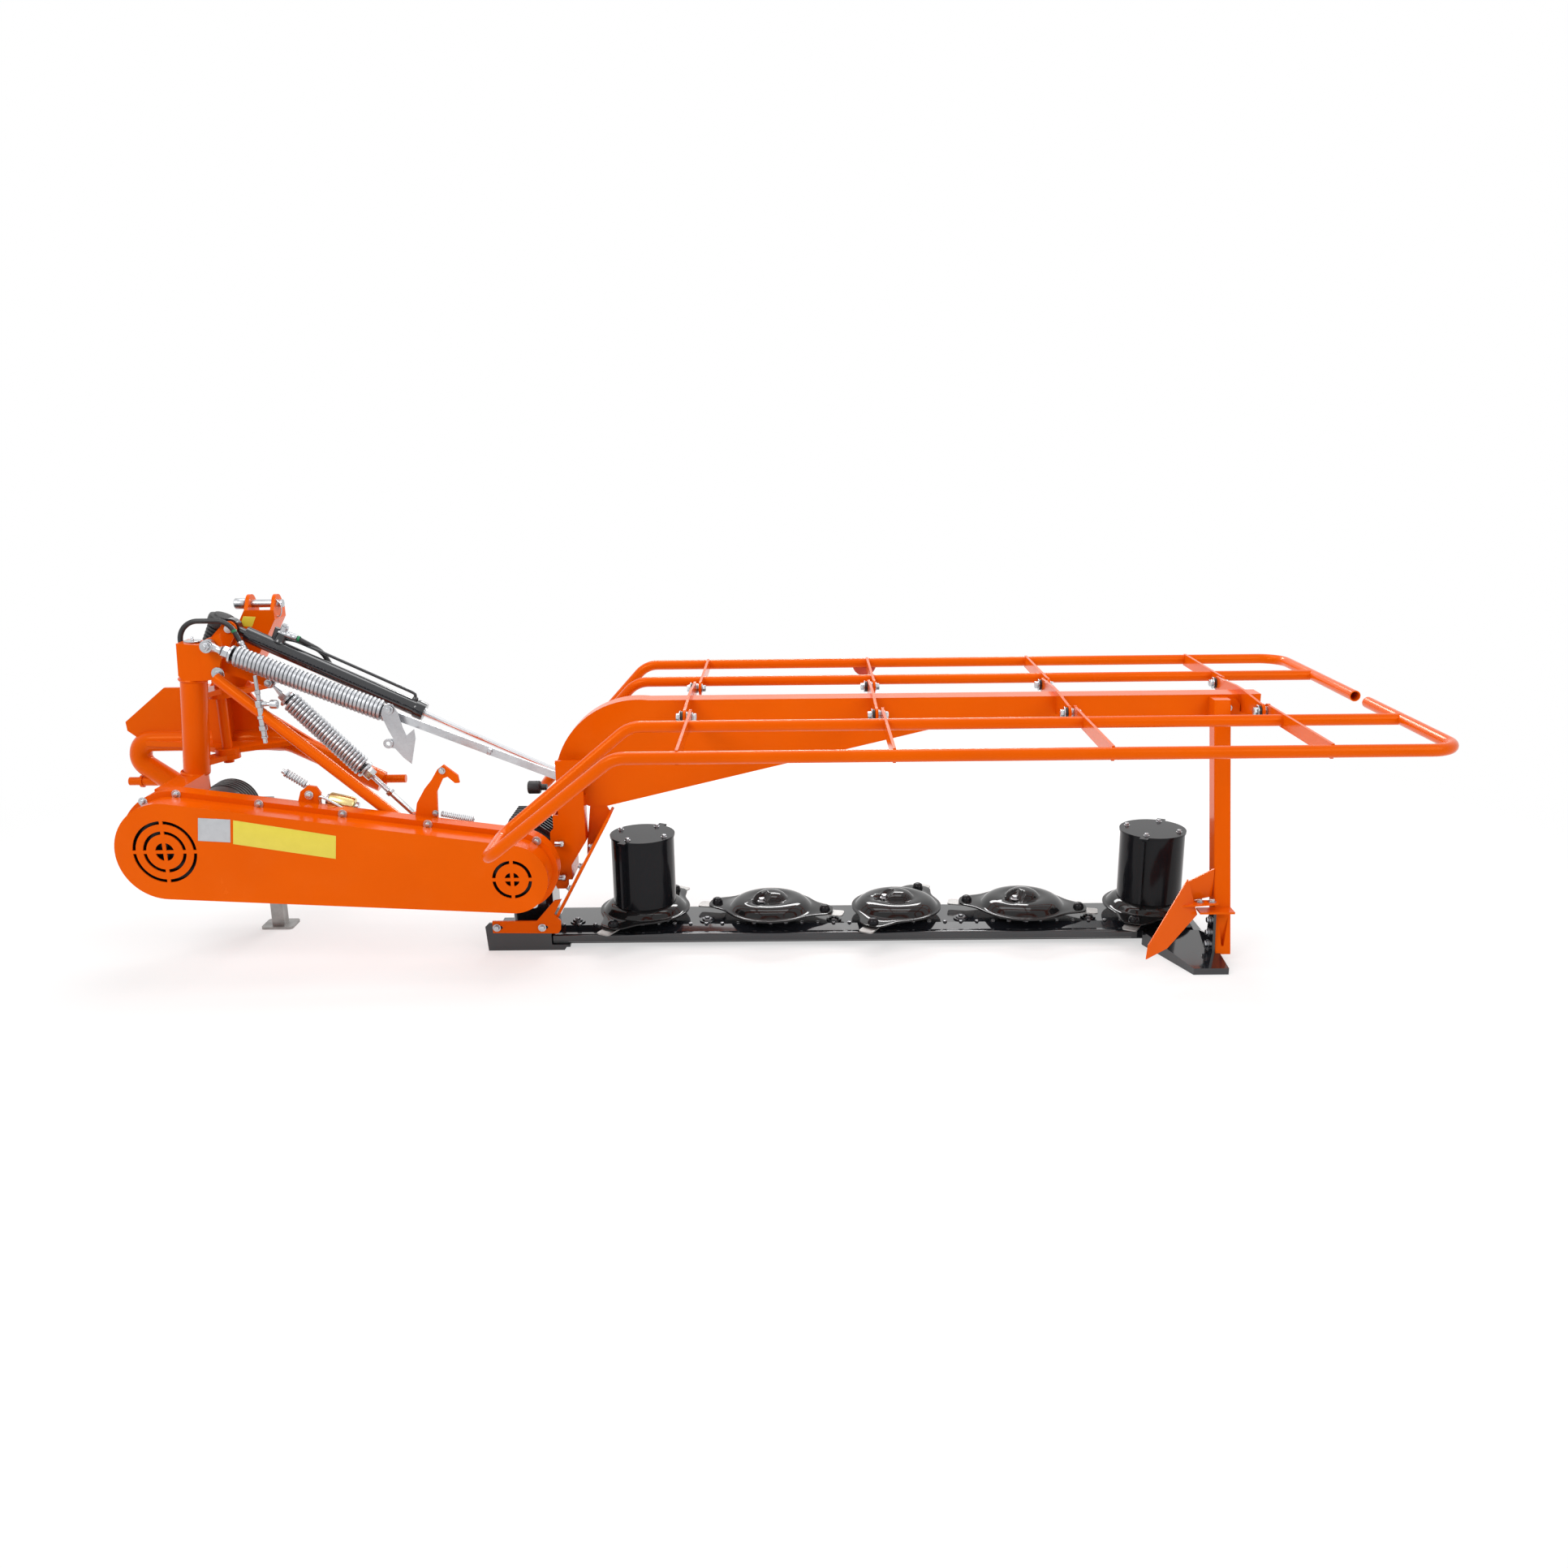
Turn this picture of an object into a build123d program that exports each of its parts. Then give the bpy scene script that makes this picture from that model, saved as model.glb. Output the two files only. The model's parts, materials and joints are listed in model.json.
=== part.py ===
from build123d import *
from math import cos, hypot, radians, sin
import os

os.makedirs("parts", exist_ok=True)

# The ground is Z = 0, +X runs out along the cutter bar and +Y points forward, to the tractor

# Cutter bar and its discs
disc_count = 5
disc_pitch = 405.0
disc_first_x = -252.0
bar_y = 30.0
bar_width = 270.0
bar_bottom = 8.0
bar_top = 58.0
bar_inner_x = -530.0
bar_outer_x = 1478.0
edge_size = 28.0
edge_low = 19.0
edge_outer_x = 1286.0
skid_radius = 196.0
skid_height = 38.0
plug_radius = 24.0
plug_height = 4.0
hub_radius = 62.0
hub_height = 12.0
running_gap = 0.3
disc_radius = 185.0
disc_rim_z = 83.0
disc_rim_thick = 5.0
disc_shoulder_z = 112.0
disc_wall = 6.0
cap_radius = 60.0
cap_top_z = 138.0
pocket_radius = 25.0
pocket_reach = 40.0
ear_reach = 205.0
ear_width = 70.0
knife_bolt_radius = 178.0
knife_bolt_size = 9.0
knife_tip_radius = 238.0
knife_width = 46.0
knife_thick = 4.0
knife_drop = 4.0
drum_radius = 100.0
drum_top_z = 330.0
drum_wall = 5.0
lid_thick = 6.0
paddle_reach = 24.0
paddle_thick = 8.0
paddle_foot_z = 122.0

# Guard frame round the cutter bar
frame_z = 762.0
tube_radius = 16.85
inner_tube_radius = 16.6
tube_bore = 13.6
open_length = 90.0
near_outer_y = -665.0
near_inner_y = -306.0
far_inner_y = 355.0
far_outer_y = 665.0
hinge_offset = 212.0
flat_first_x = -82.0
flat_pitch = 563.0
flat_count = 4
flat_thick = 8.0
flat_height = 40.0
lobe_radius = 22.0
washer_gap = 9.0
hinge_bolt_radius = 6.0
frame_end_x = 1955.0
corner_radius = 80.0
near_end_y = -80.0
far_end_y = 12.0
reflector_x = 485.0
reflector_radius = 42.0

# Main beam, its inner end and the outer post
beam_y = 27.0
beam_width = 70.0
beam_top = 776.0
beam_height = 80.0
beam_wall = 6.0
beam_outer_x = 1660.0
neck_top_x = -209.0
neck_low_x = -500.0
neck_low_z = 590.0
web_low_x = -352.0
web_low_z = 440.0
web_end_x = 740.0
channel_near_y = -60.0
channel_wall = 8.0
channel_foot_z = 185.0
channel_top_z = 600.0
strip_near_y = -115.0
strip_far_y = 5.0
strip_thick = 6.0
post_x = 1502.0
post_width = 50.0
post_depth = 55.0
post_foot_y = -217.0
post_foot_z = 22.0
post_pocket = 18.0

# Shoes
sole = 8.0
skirt_near_y = -115.0
skirt_height = 92.0
shoe_inner_x = -739.0
shoe_drop = 26.0
shoe_rear_y = -345.0
shoe_high = 46.0
flange_top = 150.0

# Belt drive: big pulley at the tractor side, small pulley on the fold axis
big_x = -1619.0
big_z = 397.0
small_x = -602.0
small_z = 301.0
big_radius = 164.0
small_radius = 122.0
guard_back_y = -180.0
guard_front_y = -298.0
guard_wall = 4.0
guard_step = 16.0
rim_depth = 40.0
back_plate = 10.0
neck_radius = 60.0
sleeve_wall = 18.0
slot_width = 10.0

# Carrier post, its head and the swing pin
post_foot_x = -1650.0
post_head_x = -1617.0
carrier_y = 27.0
carrier_radius = 40.0
carrier_foot_z = 497.0
head_bottom = 842.0
head_top = 962.0
swing_x = -1582.0
swing_y = 122.0
pin_radius = 16.0
lug_radius = 38.0
lug_thick = 16.0
upper_lug_z = 790.0
lower_lug_z = 575.0

# Headstock
bow_radius = 35.0
bow_y = 262.0
bow_z = 600.0
link_pin_radius = 14.0
right_pin_radius = 13.8
link_pin_z = 462.0
link_left_tip = -1985.0
link_right_tip = -1061.0
link_collar = 8.0
left_collar_x = -1946.0
right_collar_x = -1128.0
shank_radius = 16.0
shank_length = 70.0
mast_depth = 95.0
mast_width = 96.0
mast_wall = 12.0
mast_pocket = 50.0
mast_ear = 30.0
top_pin_z = 1050.0
top_pin_x = -1467.0
top_pin_radius = 12.7

# Lift cylinder and balance spring
cylinder_y = 100.0
cylinder_a = (-1510.0, 997.0)
cylinder_b = (-390.0, 465.0)
barrel_radius = 25.0
barrel_length = 640.0
rod_radius = 14.0
spring_y = -34.0
spring_a = (-1530.0, 963.0)
spring_b = (-483.0, 539.0)
spring_radius = 31.0
spring_wall = 9.0
spring_start = 79.0
spring_length = 475.0
spring_pin_radius = 10.0
breakaway_y = 36.0
breakaway_eye = (-1385.0, 836.0)
breakaway_foot = (-971.0, 401.0)
breakaway_start = 78.0
breakaway_length = 305.0
breakaway_rod = 5.9
breakaway_pin = 7.0

# Hoses of the lift cylinder
hose_radius = 8.0
port_radius = 9.0
port_distance = 131.0
port_height = 60.0
hose_leaves = 50.0
socket_x = -1655.0
socket_y = 56.0
socket_z = 868.0
socket_radius = 14.0
socket_height = 32.0

# Parking stand
stand_x = -1478.0
stand_y = 119.0
stand_size = 40.0
stand_foot = 104.0
stand_top = 440.0

# Drive shaft
stub_radius = 17.45
stub_length = 70.0
stub_tip_y = 150.0
cone_radius = 84.0
cone_tip_y = 120.0


def put(part, name):
    """Label a finished piece and write it as its own file."""
    part.label = name
    export_step(part, f"parts/{name}.step")


def side_plate(points, near_y, thick):
    """Flat plate cut to an outline of X and Z, standing across the machine's travel."""
    with BuildPart() as plate:
        with BuildSketch(Plane.XZ.offset(-near_y - thick)):
            with BuildLine():
                Polyline(*points, close=True)
            make_face()
        extrude(amount=thick)
    return plate.part


def round_bar(start, end, radius):
    """Straight round bar between two points."""
    with BuildPart() as bar:
        with BuildLine() as axis:
            Line(start, end)
        with BuildSketch(Plane(origin=start, z_dir=axis.line % 0)):
            Circle(radius)
        sweep()
    return bar.part


def strut_plane(a, b, y, distance=0.0):
    """Plane square to the line from a to b, some way along it."""
    length = hypot(b[0] - a[0], b[1] - a[1])
    ux = (b[0] - a[0]) / length
    uz = (b[1] - a[1]) / length
    return Plane(origin=(a[0] + ux * distance, y, a[1] + uz * distance), x_dir=(0, 1, 0), z_dir=(ux, 0, uz))


# Cutter bar: flat gear case with a rolled rear edge, a skid bulge under each disc and a hub on top
disc_places = [disc_first_x + disc_pitch * i for i in range(disc_count)]
bar_rear = bar_y - bar_width / 2
bar_front = bar_y + bar_width / 2
case_rear = bar_rear + edge_size - 2
with BuildPart() as cutter_bar:
    with BuildSketch(Plane.YZ.offset(bar_inner_x)):
        with BuildLine():
            Polyline(
                (case_rear, bar_bottom),
                (case_rear, bar_top - 14),
                (case_rear + edge_size, bar_top),
                (bar_front - 60, bar_top),
                (bar_front - 30, bar_top - 10),
                (bar_front - 30, bar_bottom),
                close=True,
            )
        make_face()
    extrude(amount=bar_outer_x - bar_inner_x)
    with BuildSketch(Plane.XY.offset(bar_bottom)):
        with Locations(*[(x, bar_front - skid_radius) for x in disc_places]):
            Circle(skid_radius)
        with Locations(((bar_inner_x + bar_outer_x) / 2, bar_front - bar_width / 4)):
            Rectangle(bar_outer_x - bar_inner_x, bar_width / 2, mode=Mode.INTERSECT)
    extrude(amount=skid_height)
    with BuildSketch(Plane.YZ.offset(bar_inner_x)):
        with Locations((bar_rear + edge_size / 2, edge_low + edge_size / 2)):
            RectangleRounded(edge_size, edge_size, 8)
    extrude(amount=edge_outer_x - bar_inner_x)
    with BuildSketch(Plane.XY.offset(bar_top)):
        with Locations(*[(x, bar_y) for x in disc_places]):
            Circle(hub_radius)
    extrude(amount=hub_height)
    with BuildSketch(Plane.XY.offset(bar_top)):
        with Locations(*[(x + disc_pitch / 2, bar_y - 50) for x in [disc_first_x - 414, *disc_places[:-1]]]):
            Circle(plug_radius)
    extrude(amount=plug_height)
put(cutter_bar.part, "cutter_bar")

# Discs: pressed shells with two ears, a raised cap with a bolt pocket, or a drum on the end ones
hub_z = bar_top + hub_height
rim_top = disc_rim_z + disc_rim_thick
disc_table = [
    # phase of the ears, direction of the pocket, has a drum
    (62.0, 0.0, True),
    (-12.0, 225.0, False),
    (62.0, 190.0, False),
    (-12.0, 225.0, False),
    (62.0, 0.0, True),
]
for number, (phase, pocket_angle, drummed) in enumerate(disc_table[:disc_count]):
    x = disc_places[number]
    centre = Plane(origin=(x, bar_y, 0), x_dir=(cos(radians(phase)), sin(radians(phase)), 0))
    with BuildPart() as disc:
        with BuildSketch(Plane(origin=(x, bar_y, 0), x_dir=(1, 0, 0), z_dir=(0, -1, 0))):
            with BuildLine():
                Polyline(
                    (0, disc_shoulder_z),
                    (0, hub_z + running_gap),
                    (cap_radius - 15, hub_z + running_gap),
                    (cap_radius - 15, disc_shoulder_z - disc_wall),
                )
                Spline(
                    (cap_radius - 15, disc_shoulder_z - disc_wall),
                    (disc_radius * 0.6, disc_shoulder_z - disc_wall - 3),
                    (disc_radius - 16, disc_rim_z),
                )
                Polyline((disc_radius - 16, disc_rim_z), (disc_radius, disc_rim_z), (disc_radius, rim_top))
                Spline(
                    (disc_radius, rim_top),
                    (disc_radius * 0.85, rim_top + 10),
                    (disc_radius * 0.6, disc_shoulder_z - 2),
                    (cap_radius, disc_shoulder_z),
                )
                Line((cap_radius, disc_shoulder_z), (0, disc_shoulder_z))
            make_face()
        revolve(axis=Axis((x, bar_y, 0), (0, 0, 1)))
        with BuildSketch(centre.offset(disc_rim_z)):
            SlotCenterToCenter(2 * (ear_reach - ear_width / 2), ear_width)
            Circle(disc_radius - 14, mode=Mode.SUBTRACT)
        extrude(amount=disc_rim_thick)
        with BuildSketch(centre.offset(disc_rim_z - knife_drop)):
            with Locations((knife_bolt_radius, 0), (-knife_bolt_radius, 0)):
                Circle(knife_bolt_size)
        extrude(amount=disc_rim_thick + 14)
        if not drummed:
            with BuildSketch(Plane(origin=(x, bar_y, 0), x_dir=(1, 0, 0), z_dir=(0, -1, 0))):
                with BuildLine():
                    Polyline((cap_radius - 2, disc_shoulder_z), (0, disc_shoulder_z), (0, cap_top_z))
                    Spline(
                        (0, cap_top_z), (cap_radius * 0.6, cap_top_z - 6), (cap_radius - 2, disc_shoulder_z),
                        tangents=[(1, 0), (0.25, -1)],
                    )
                make_face()
            revolve(axis=Axis((x, bar_y, 0), (0, 0, 1)))
            dip_x = x + pocket_reach * cos(radians(pocket_angle))
            dip_y = bar_y + pocket_reach * sin(radians(pocket_angle))
            with Locations((dip_x, dip_y, cap_top_z + 2)):
                Sphere(pocket_radius, mode=Mode.SUBTRACT)
    put(disc.part, f"disc_{number + 1}")
    with BuildPart() as knives:
        with BuildSketch(centre.offset(disc_rim_z - knife_drop - knife_thick)):
            for side in (1, -1):
                with Locations((side * (knife_bolt_radius + knife_tip_radius - 24) / 2, 0)):
                    RectangleRounded(knife_tip_radius - knife_bolt_radius + 24, knife_width, 10)
        extrude(amount=knife_thick)
    put(knives.part, f"knives_{number + 1}")
    if drummed:
        with BuildPart() as drum:
            with BuildSketch(centre.offset(disc_shoulder_z + running_gap)):
                Circle(drum_radius)
                Circle(drum_radius - drum_wall, mode=Mode.SUBTRACT)
            extrude(amount=drum_top_z - disc_shoulder_z - running_gap)
            with BuildSketch(centre.offset(paddle_foot_z)):
                Rectangle(2 * (drum_radius + paddle_reach), paddle_thick)
                Circle(drum_radius - 1, mode=Mode.SUBTRACT)
            extrude(amount=drum_top_z - paddle_foot_z)
            with BuildSketch(centre.offset(drum_top_z)):
                Circle(drum_radius + 3)
                Rectangle(2 * (drum_radius + paddle_reach - 4), 26)
            extrude(amount=lid_thick)
        put(drum.part, f"drum_{number + 1}")

# Inner shoe: sole with a side skirt at the rear
with BuildPart() as inner_shoe:
    with BuildSketch(Plane.XY):
        with Locations(((shoe_inner_x + bar_inner_x + 50) / 2, bar_y)):
            Rectangle(bar_inner_x + 50 - shoe_inner_x, bar_width - 30)
    extrude(amount=sole - running_gap)
    with BuildSketch(Plane.XZ.offset(-skirt_near_y - sole)):
        with BuildLine():
            Polyline(
                (shoe_inner_x + 6, 0), (bar_inner_x + 36, 0), (bar_inner_x + 48, edge_low - 1),
                (bar_inner_x - 3, edge_low - 1), (bar_inner_x - 3, skirt_height),
                (shoe_inner_x + 12, skirt_height), (shoe_inner_x, skirt_height - 12), close=True,
            )
        make_face()
    extrude(amount=sole)
    with BuildSketch(Plane.XY):
        with Locations(((shoe_inner_x + bar_inner_x) / 2, (skirt_near_y + case_rear) / 2)):
            Rectangle(bar_inner_x - shoe_inner_x - 20, case_rear - skirt_near_y)
    extrude(amount=sole - running_gap)
put(inner_shoe.part, "inner_shoe")

# Slotted foot plate on the skirt, with an arm that rises to the strip
foot_x = shoe_inner_x + 25
with BuildPart() as foot_plate:
    with BuildSketch(Plane.XZ.offset(-skirt_near_y + running_gap)):
        with BuildLine():
            Polyline(
                (foot_x, 62), (foot_x + 204, 59), (foot_x + 213, 71), (foot_x + 215, 100), (foot_x + 195, 123),
                (foot_x + 221, 172), (foot_x + 198, 168), (foot_x + 139, 101), (foot_x, 101), close=True,
            )
        make_face()
        with Locations((foot_x + 18, 80), (foot_x + 160, 80)):
            SlotCenterToCenter(16, 11, mode=Mode.SUBTRACT)
    extrude(amount=7)
put(foot_plate.part, "foot_plate")

# Gearbox on the inner end of the bar: flanged foot, upright case, finned shoulder and the fold neck
gear_near_y = channel_near_y + channel_wall + running_gap
gear_far_y = bar_y + 100
fin_count = 7
fin_pitch = 22.0
with BuildPart() as gearbox:
    with BuildSketch(Plane.XY.offset(bar_bottom)):
        with Locations((-602, bar_y)):
            Rectangle(138, bar_width - 90)
    extrude(amount=24)
    with BuildSketch(Plane.XY.offset(bar_bottom)):
        with Locations((-602, bar_y)):
            RectangleRounded(128, 150, 20)
    extrude(amount=small_z - bar_bottom)
    with BuildSketch(Plane.XZ.offset(-gear_near_y)):
        with Locations((small_x, small_z)):
            Circle(neck_radius)
    extrude(amount=gear_near_y - guard_back_y - 18)
    with BuildSketch(Plane.XZ.offset(-gear_near_y)):
        with BuildLine():
            Polyline((-684, 225), (-684, 360), (-650, 398), (-606, 398), (-524, 340), (-524, 225), close=True)
        make_face()
    extrude(amount=gear_near_y - gear_far_y)
    for rib in range(fin_count):
        rib_y = gear_near_y + 8 + fin_pitch * rib
        with BuildSketch(Plane.XZ.offset(-rib_y - 6)):
            with BuildLine():
                Polyline(
                    (-676, 230), (-676, 372), (-654, 413), (-596, 413), (-518, 356), (-518, 230), close=True
                )
            make_face()
        extrude(amount=6)
put(gearbox.part, "gearbox")

# Outer shoe: sloping plate with its edges folded down to the ground, and an upright flange for the post
bar_end_gap = bar_outer_x + running_gap
shoe_outline = [
    (edge_outer_x + 32, bar_rear - 7),
    (edge_outer_x + 125, shoe_rear_y),
    (post_x + 13, shoe_rear_y),
    (post_x + 13, post_foot_y - 38),
    (post_x - running_gap, post_foot_y - 38),
    (post_x - running_gap, bar_front),
    (bar_end_gap, bar_front),
    (bar_end_gap, bar_rear - 1),
    (edge_outer_x + 32, bar_rear - 1),
]
with BuildPart() as shoe_hollow:
    with BuildSketch(Plane.XY.offset(-1)):
        with BuildLine():
            Polyline(*shoe_outline, close=True)
        make_face()
        offset(amount=-sole, kind=Kind.INTERSECTION)
    extrude(amount=shoe_high)
    with BuildSketch(Plane.YZ.offset(edge_outer_x)):
        with BuildLine():
            Polyline(
                (shoe_rear_y, -2), (bar_front, -2), (bar_front, shoe_high - sole),
                (bar_rear - 1, shoe_high - sole), (shoe_rear_y, shoe_high - shoe_drop - sole), close=True,
            )
        make_face()
    extrude(amount=post_x - edge_outer_x + 60, mode=Mode.INTERSECT)
with BuildPart() as outer_shoe:
    with BuildSketch(Plane.XY):
        with BuildLine():
            Polyline(*shoe_outline, close=True)
        make_face()
    extrude(amount=shoe_high)
    with BuildSketch(Plane.YZ.offset(edge_outer_x)):
        with BuildLine():
            Polyline(
                (shoe_rear_y, 0), (bar_front, 0), (bar_front, shoe_high), (bar_rear - 1, shoe_high),
                (shoe_rear_y, shoe_high - shoe_drop), close=True,
            )
        make_face()
    extrude(amount=post_x - edge_outer_x + 60, mode=Mode.INTERSECT)
    add(shoe_hollow.part, mode=Mode.SUBTRACT)
    with BuildSketch(Plane.YZ.offset(post_x - running_gap - sole)):
        with BuildLine():
            Polyline(
                (post_foot_y - 30, 24), (post_foot_y - 18, flange_top), (post_foot_y + 26, flange_top),
                (post_foot_y + 34, shoe_high + 20), (bar_rear, shoe_high), (bar_rear, 30), close=True,
            )
        make_face()
    extrude(amount=sole)
put(outer_shoe.part, "outer_shoe")

# Main beam: hollow box beam with a tapered web and a gooseneck at its inner end
beam_rear = beam_y - beam_width / 2
beam_front = beam_y + beam_width / 2
with BuildSketch() as beam_side:
    with BuildLine():
        Polyline(
            (neck_top_x, beam_top), (beam_outer_x, beam_top), (beam_outer_x, beam_top - beam_height),
            (web_end_x, beam_top - beam_height), (web_low_x, web_low_z), (web_low_x - 58, web_low_z),
            (neck_low_x, web_low_z + 40), (neck_low_x, neck_low_z),
        )
        ThreePointArc(
            (neck_low_x, neck_low_z),
            (neck_low_x * 0.66 + neck_top_x * 0.34, neck_low_z * 0.26 + beam_top * 0.74),
            (neck_top_x, beam_top),
        )
    make_face()
with BuildPart() as main_beam:
    with BuildSketch(Plane.XZ.offset(-beam_front)):
        add(beam_side.sketch)
    extrude(amount=beam_width)
    with BuildSketch(Plane.XZ.offset(-beam_front + beam_wall)):
        add(beam_side.sketch)
        offset(amount=-beam_wall, kind=Kind.INTERSECTION)
        with Locations((beam_outer_x - 10, beam_top - beam_height / 2)):
            Rectangle(21, beam_height - 2 * beam_wall)
    extrude(amount=beam_width - 2 * beam_wall, mode=Mode.SUBTRACT)
    with BuildSketch(Plane.XZ.offset(-beam_front)):
        with Locations(cylinder_b):
            Circle(22)
    extrude(amount=-(cylinder_y - 24 - beam_front))
    with BuildSketch(Plane.XZ.offset(-beam_rear)):
        with Locations(spring_b):
            Circle(18)
    extrude(amount=beam_rear - spring_y - 12)
put(main_beam.part, "main_beam")

# Inner channel: near plate with two side walls, a bent-out flange and the lug of the strip
channel_right = web_low_x - 62
with BuildPart() as inner_channel:
    with BuildSketch(Plane.XZ.offset(-channel_near_y - channel_wall)):
        with BuildLine():
            Polyline(
                (neck_low_x - 16, channel_foot_z), (channel_right - 66, channel_foot_z),
                (channel_right - 64, channel_foot_z + 60), (channel_right - 4, web_low_z - 100),
                (channel_right - 4, channel_top_z), (neck_low_x, channel_top_z), (neck_low_x, web_low_z - 40),
                (neck_low_x - 28, web_low_z - 68), (neck_low_x - 32, channel_foot_z + 40), close=True,
            )
        make_face()
    extrude(amount=channel_wall)
    with BuildSketch(Plane.XY.offset(web_low_z - 100)):
        with Locations((channel_right - 4 - channel_wall / 2, (channel_near_y + beam_rear - running_gap) / 2)):
            Rectangle(channel_wall, beam_rear - running_gap - channel_near_y)
    extrude(amount=100 + 40)
    with BuildSketch(Plane.XY.offset(channel_foot_z + 30)):
        with Locations((-492, (channel_near_y + bar_y + 40) / 2)):
            Rectangle(50.7, bar_y + 40 - channel_near_y)
            Rectangle(38.7, bar_y + 28 - channel_near_y, mode=Mode.SUBTRACT)
    extrude(amount=web_low_z - 14 - channel_foot_z - 30)
put(inner_channel.part, "inner_channel")

# Strip: inclined plate along the channel's edge, hung from a bracket under the web
strip_top = (web_low_x + 19, web_low_z - 10)
strip_foot = (bar_inner_x + 20, 105)
with BuildPart() as side_strip:
    with BuildSketch(Plane.XZ.offset(-strip_far_y)):
        with BuildLine():
            Polyline(
                strip_top, (strip_top[0] - 8, strip_top[1] + 4), (strip_foot[0] - 8, strip_foot[1] + 4),
                strip_foot, close=True,
            )
        make_face()
    extrude(amount=strip_far_y - strip_near_y)
    with BuildSketch(Plane.XZ.offset(-beam_rear - 2)):
        with BuildLine():
            Polyline(
                (channel_right - 2 + 8, web_low_z - running_gap), (web_low_x - 4, web_low_z - running_gap),
                (web_low_x + 8, web_low_z - 22), (strip_foot[0] + 84, 270), (channel_right - 8, 325),
                close=True,
            )
        make_face()
    extrude(amount=-8)
put(side_strip.part, "side_strip")

# Outer post: leans back from the beam's end down beside the outer shoe, with a shelf for the swath plate
post_top_y = beam_rear - running_gap - post_depth / 2
with BuildPart() as outer_post:
    with BuildSketch(Plane.XY.offset(post_foot_z)):
        with Locations((post_x + post_width / 2, post_foot_y)):
            RectangleRounded(post_width, post_depth, 5)
    with BuildSketch(Plane.XY.offset(beam_top - 6)):
        with Locations((post_x + post_width / 2, post_top_y)):
            RectangleRounded(post_width, post_depth, 5)
    loft()
    with BuildSketch(Plane.YZ.offset(post_x)):
        with BuildLine():
            Polyline(
                (beam_rear - running_gap, beam_top - 6), (beam_rear - running_gap, beam_top - beam_height),
                (post_top_y - 4, beam_top - beam_height), (post_top_y + 10, beam_top - 6), close=True,
            )
        make_face()
    extrude(amount=post_width)
    with BuildSketch(Plane.XZ.offset(-beam_rear + running_gap)):
        with BuildLine():
            Polyline(
                (post_x + post_width - 4, beam_top - 12), (post_x + 80, beam_top - 12),
                (post_x + 94, beam_top - 30), (post_x + 94, beam_top - 60),
                (post_x + post_width - 4, beam_top - beam_height + 4), close=True,
            )
        make_face()
    extrude(amount=8)
    with BuildSketch(Plane.XZ.offset(-post_foot_y + post_depth / 2 + 4)):
        with BuildLine():
            Polyline(
                (post_x + 10, 150), (post_x + post_width - 6, 150), (post_x + post_width / 2 + 3, 46),
                (post_x + post_width / 2 - 4, 46), close=True,
            )
        make_face()
    extrude(amount=-post_pocket - 12, mode=Mode.SUBTRACT)
    with BuildSketch(Plane.XY.offset(155)):
        with Locations((post_x - 3, post_foot_y - 15)):
            Rectangle(post_width + 54, 44)
    extrude(amount=6)
put(outer_post.part, "outer_post")

# Swath plate: trails behind the outer shoe and turns the cut crop inwards
plate_corner = Vector(1412, -215, 254)
plate_foot = Vector(1263, -370, 107)
plate_heel = Vector(1441, -235, 148)
plate_normal = (plate_foot - plate_corner).cross(plate_heel - plate_corner).normalized()
swath_plane = Plane(origin=plate_corner, x_dir=plate_foot - plate_corner, z_dir=plate_normal)
swath_corners = [
    plate_corner,
    plate_foot,
    Vector(1253, -389, 70),
    Vector(1327, -335, 81),
    plate_heel,
]
swath_flat = [swath_plane.to_local_coords(p) for p in swath_corners]
with BuildPart() as swath_plate:
    with BuildSketch(swath_plane):
        with BuildLine():
            Polyline(*[(p.X, p.Y) for p in swath_flat], close=True)
        make_face()
    extrude(amount=4)
    with BuildSketch(Plane.XY.offset(181)):
        with BuildLine():
            Polyline(
                (1388, -262), (1400, -212), (post_x - running_gap, post_foot_y + 2),
                (post_x - running_gap, post_foot_y - post_depth / 2), close=True,
            )
        make_face()
    extrude(amount=5)
    with BuildSketch(Plane(origin=(1403, -219, 0), x_dir=(98, 36, 0), z_dir=(36, -98, 0))):
        with BuildLine():
            Polyline((6, 246), (102, 276), (102, 188), (0, 184), close=True)
        make_face()
    extrude(amount=5)
put(swath_plate.part, "swath_plate")

# Hinge flats: saddles over the beam, with rounded ends that carry both guard halves
flat_places = [flat_first_x + flat_pitch * i for i in range(flat_count)]
near_hinge_y = beam_y - hinge_offset
far_hinge_y = beam_y + hinge_offset
hinge_z = frame_z
flat_low = hinge_z - flat_height / 2
flat_high = hinge_z + flat_height / 2
with BuildPart() as hinge_flats:
    for x in flat_places:
        with BuildSketch(Plane.YZ.offset(x - flat_thick)):
            with BuildLine():
                Polyline(
                    (near_hinge_y, flat_low), (beam_rear, flat_low - 20), (beam_rear, beam_top),
                    (beam_front, beam_top), (beam_front, flat_low - 20), (far_hinge_y, flat_low),
                    (far_hinge_y, flat_high), (beam_front, beam_top + 16), (beam_rear, beam_top + 16),
                    (near_hinge_y, flat_high), close=True,
                )
            make_face()
            with Locations((near_hinge_y, hinge_z), (far_hinge_y, hinge_z)):
                Circle(lobe_radius)
                Circle(hinge_bolt_radius + 0.2, mode=Mode.SUBTRACT)
        extrude(amount=flat_thick)
put(hinge_flats.part, "hinge_flats")

with BuildPart() as hinge_bolts:
    for x in flat_places:
        with BuildSketch(Plane.YZ.offset(x - flat_thick - 22)):
            with Locations((near_hinge_y, hinge_z), (far_hinge_y, hinge_z)):
                Circle(hinge_bolt_radius)
        extrude(amount=flat_thick + 22 + washer_gap + flat_thick + 14)
put(hinge_bolts.part, "hinge_bolts")


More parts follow.
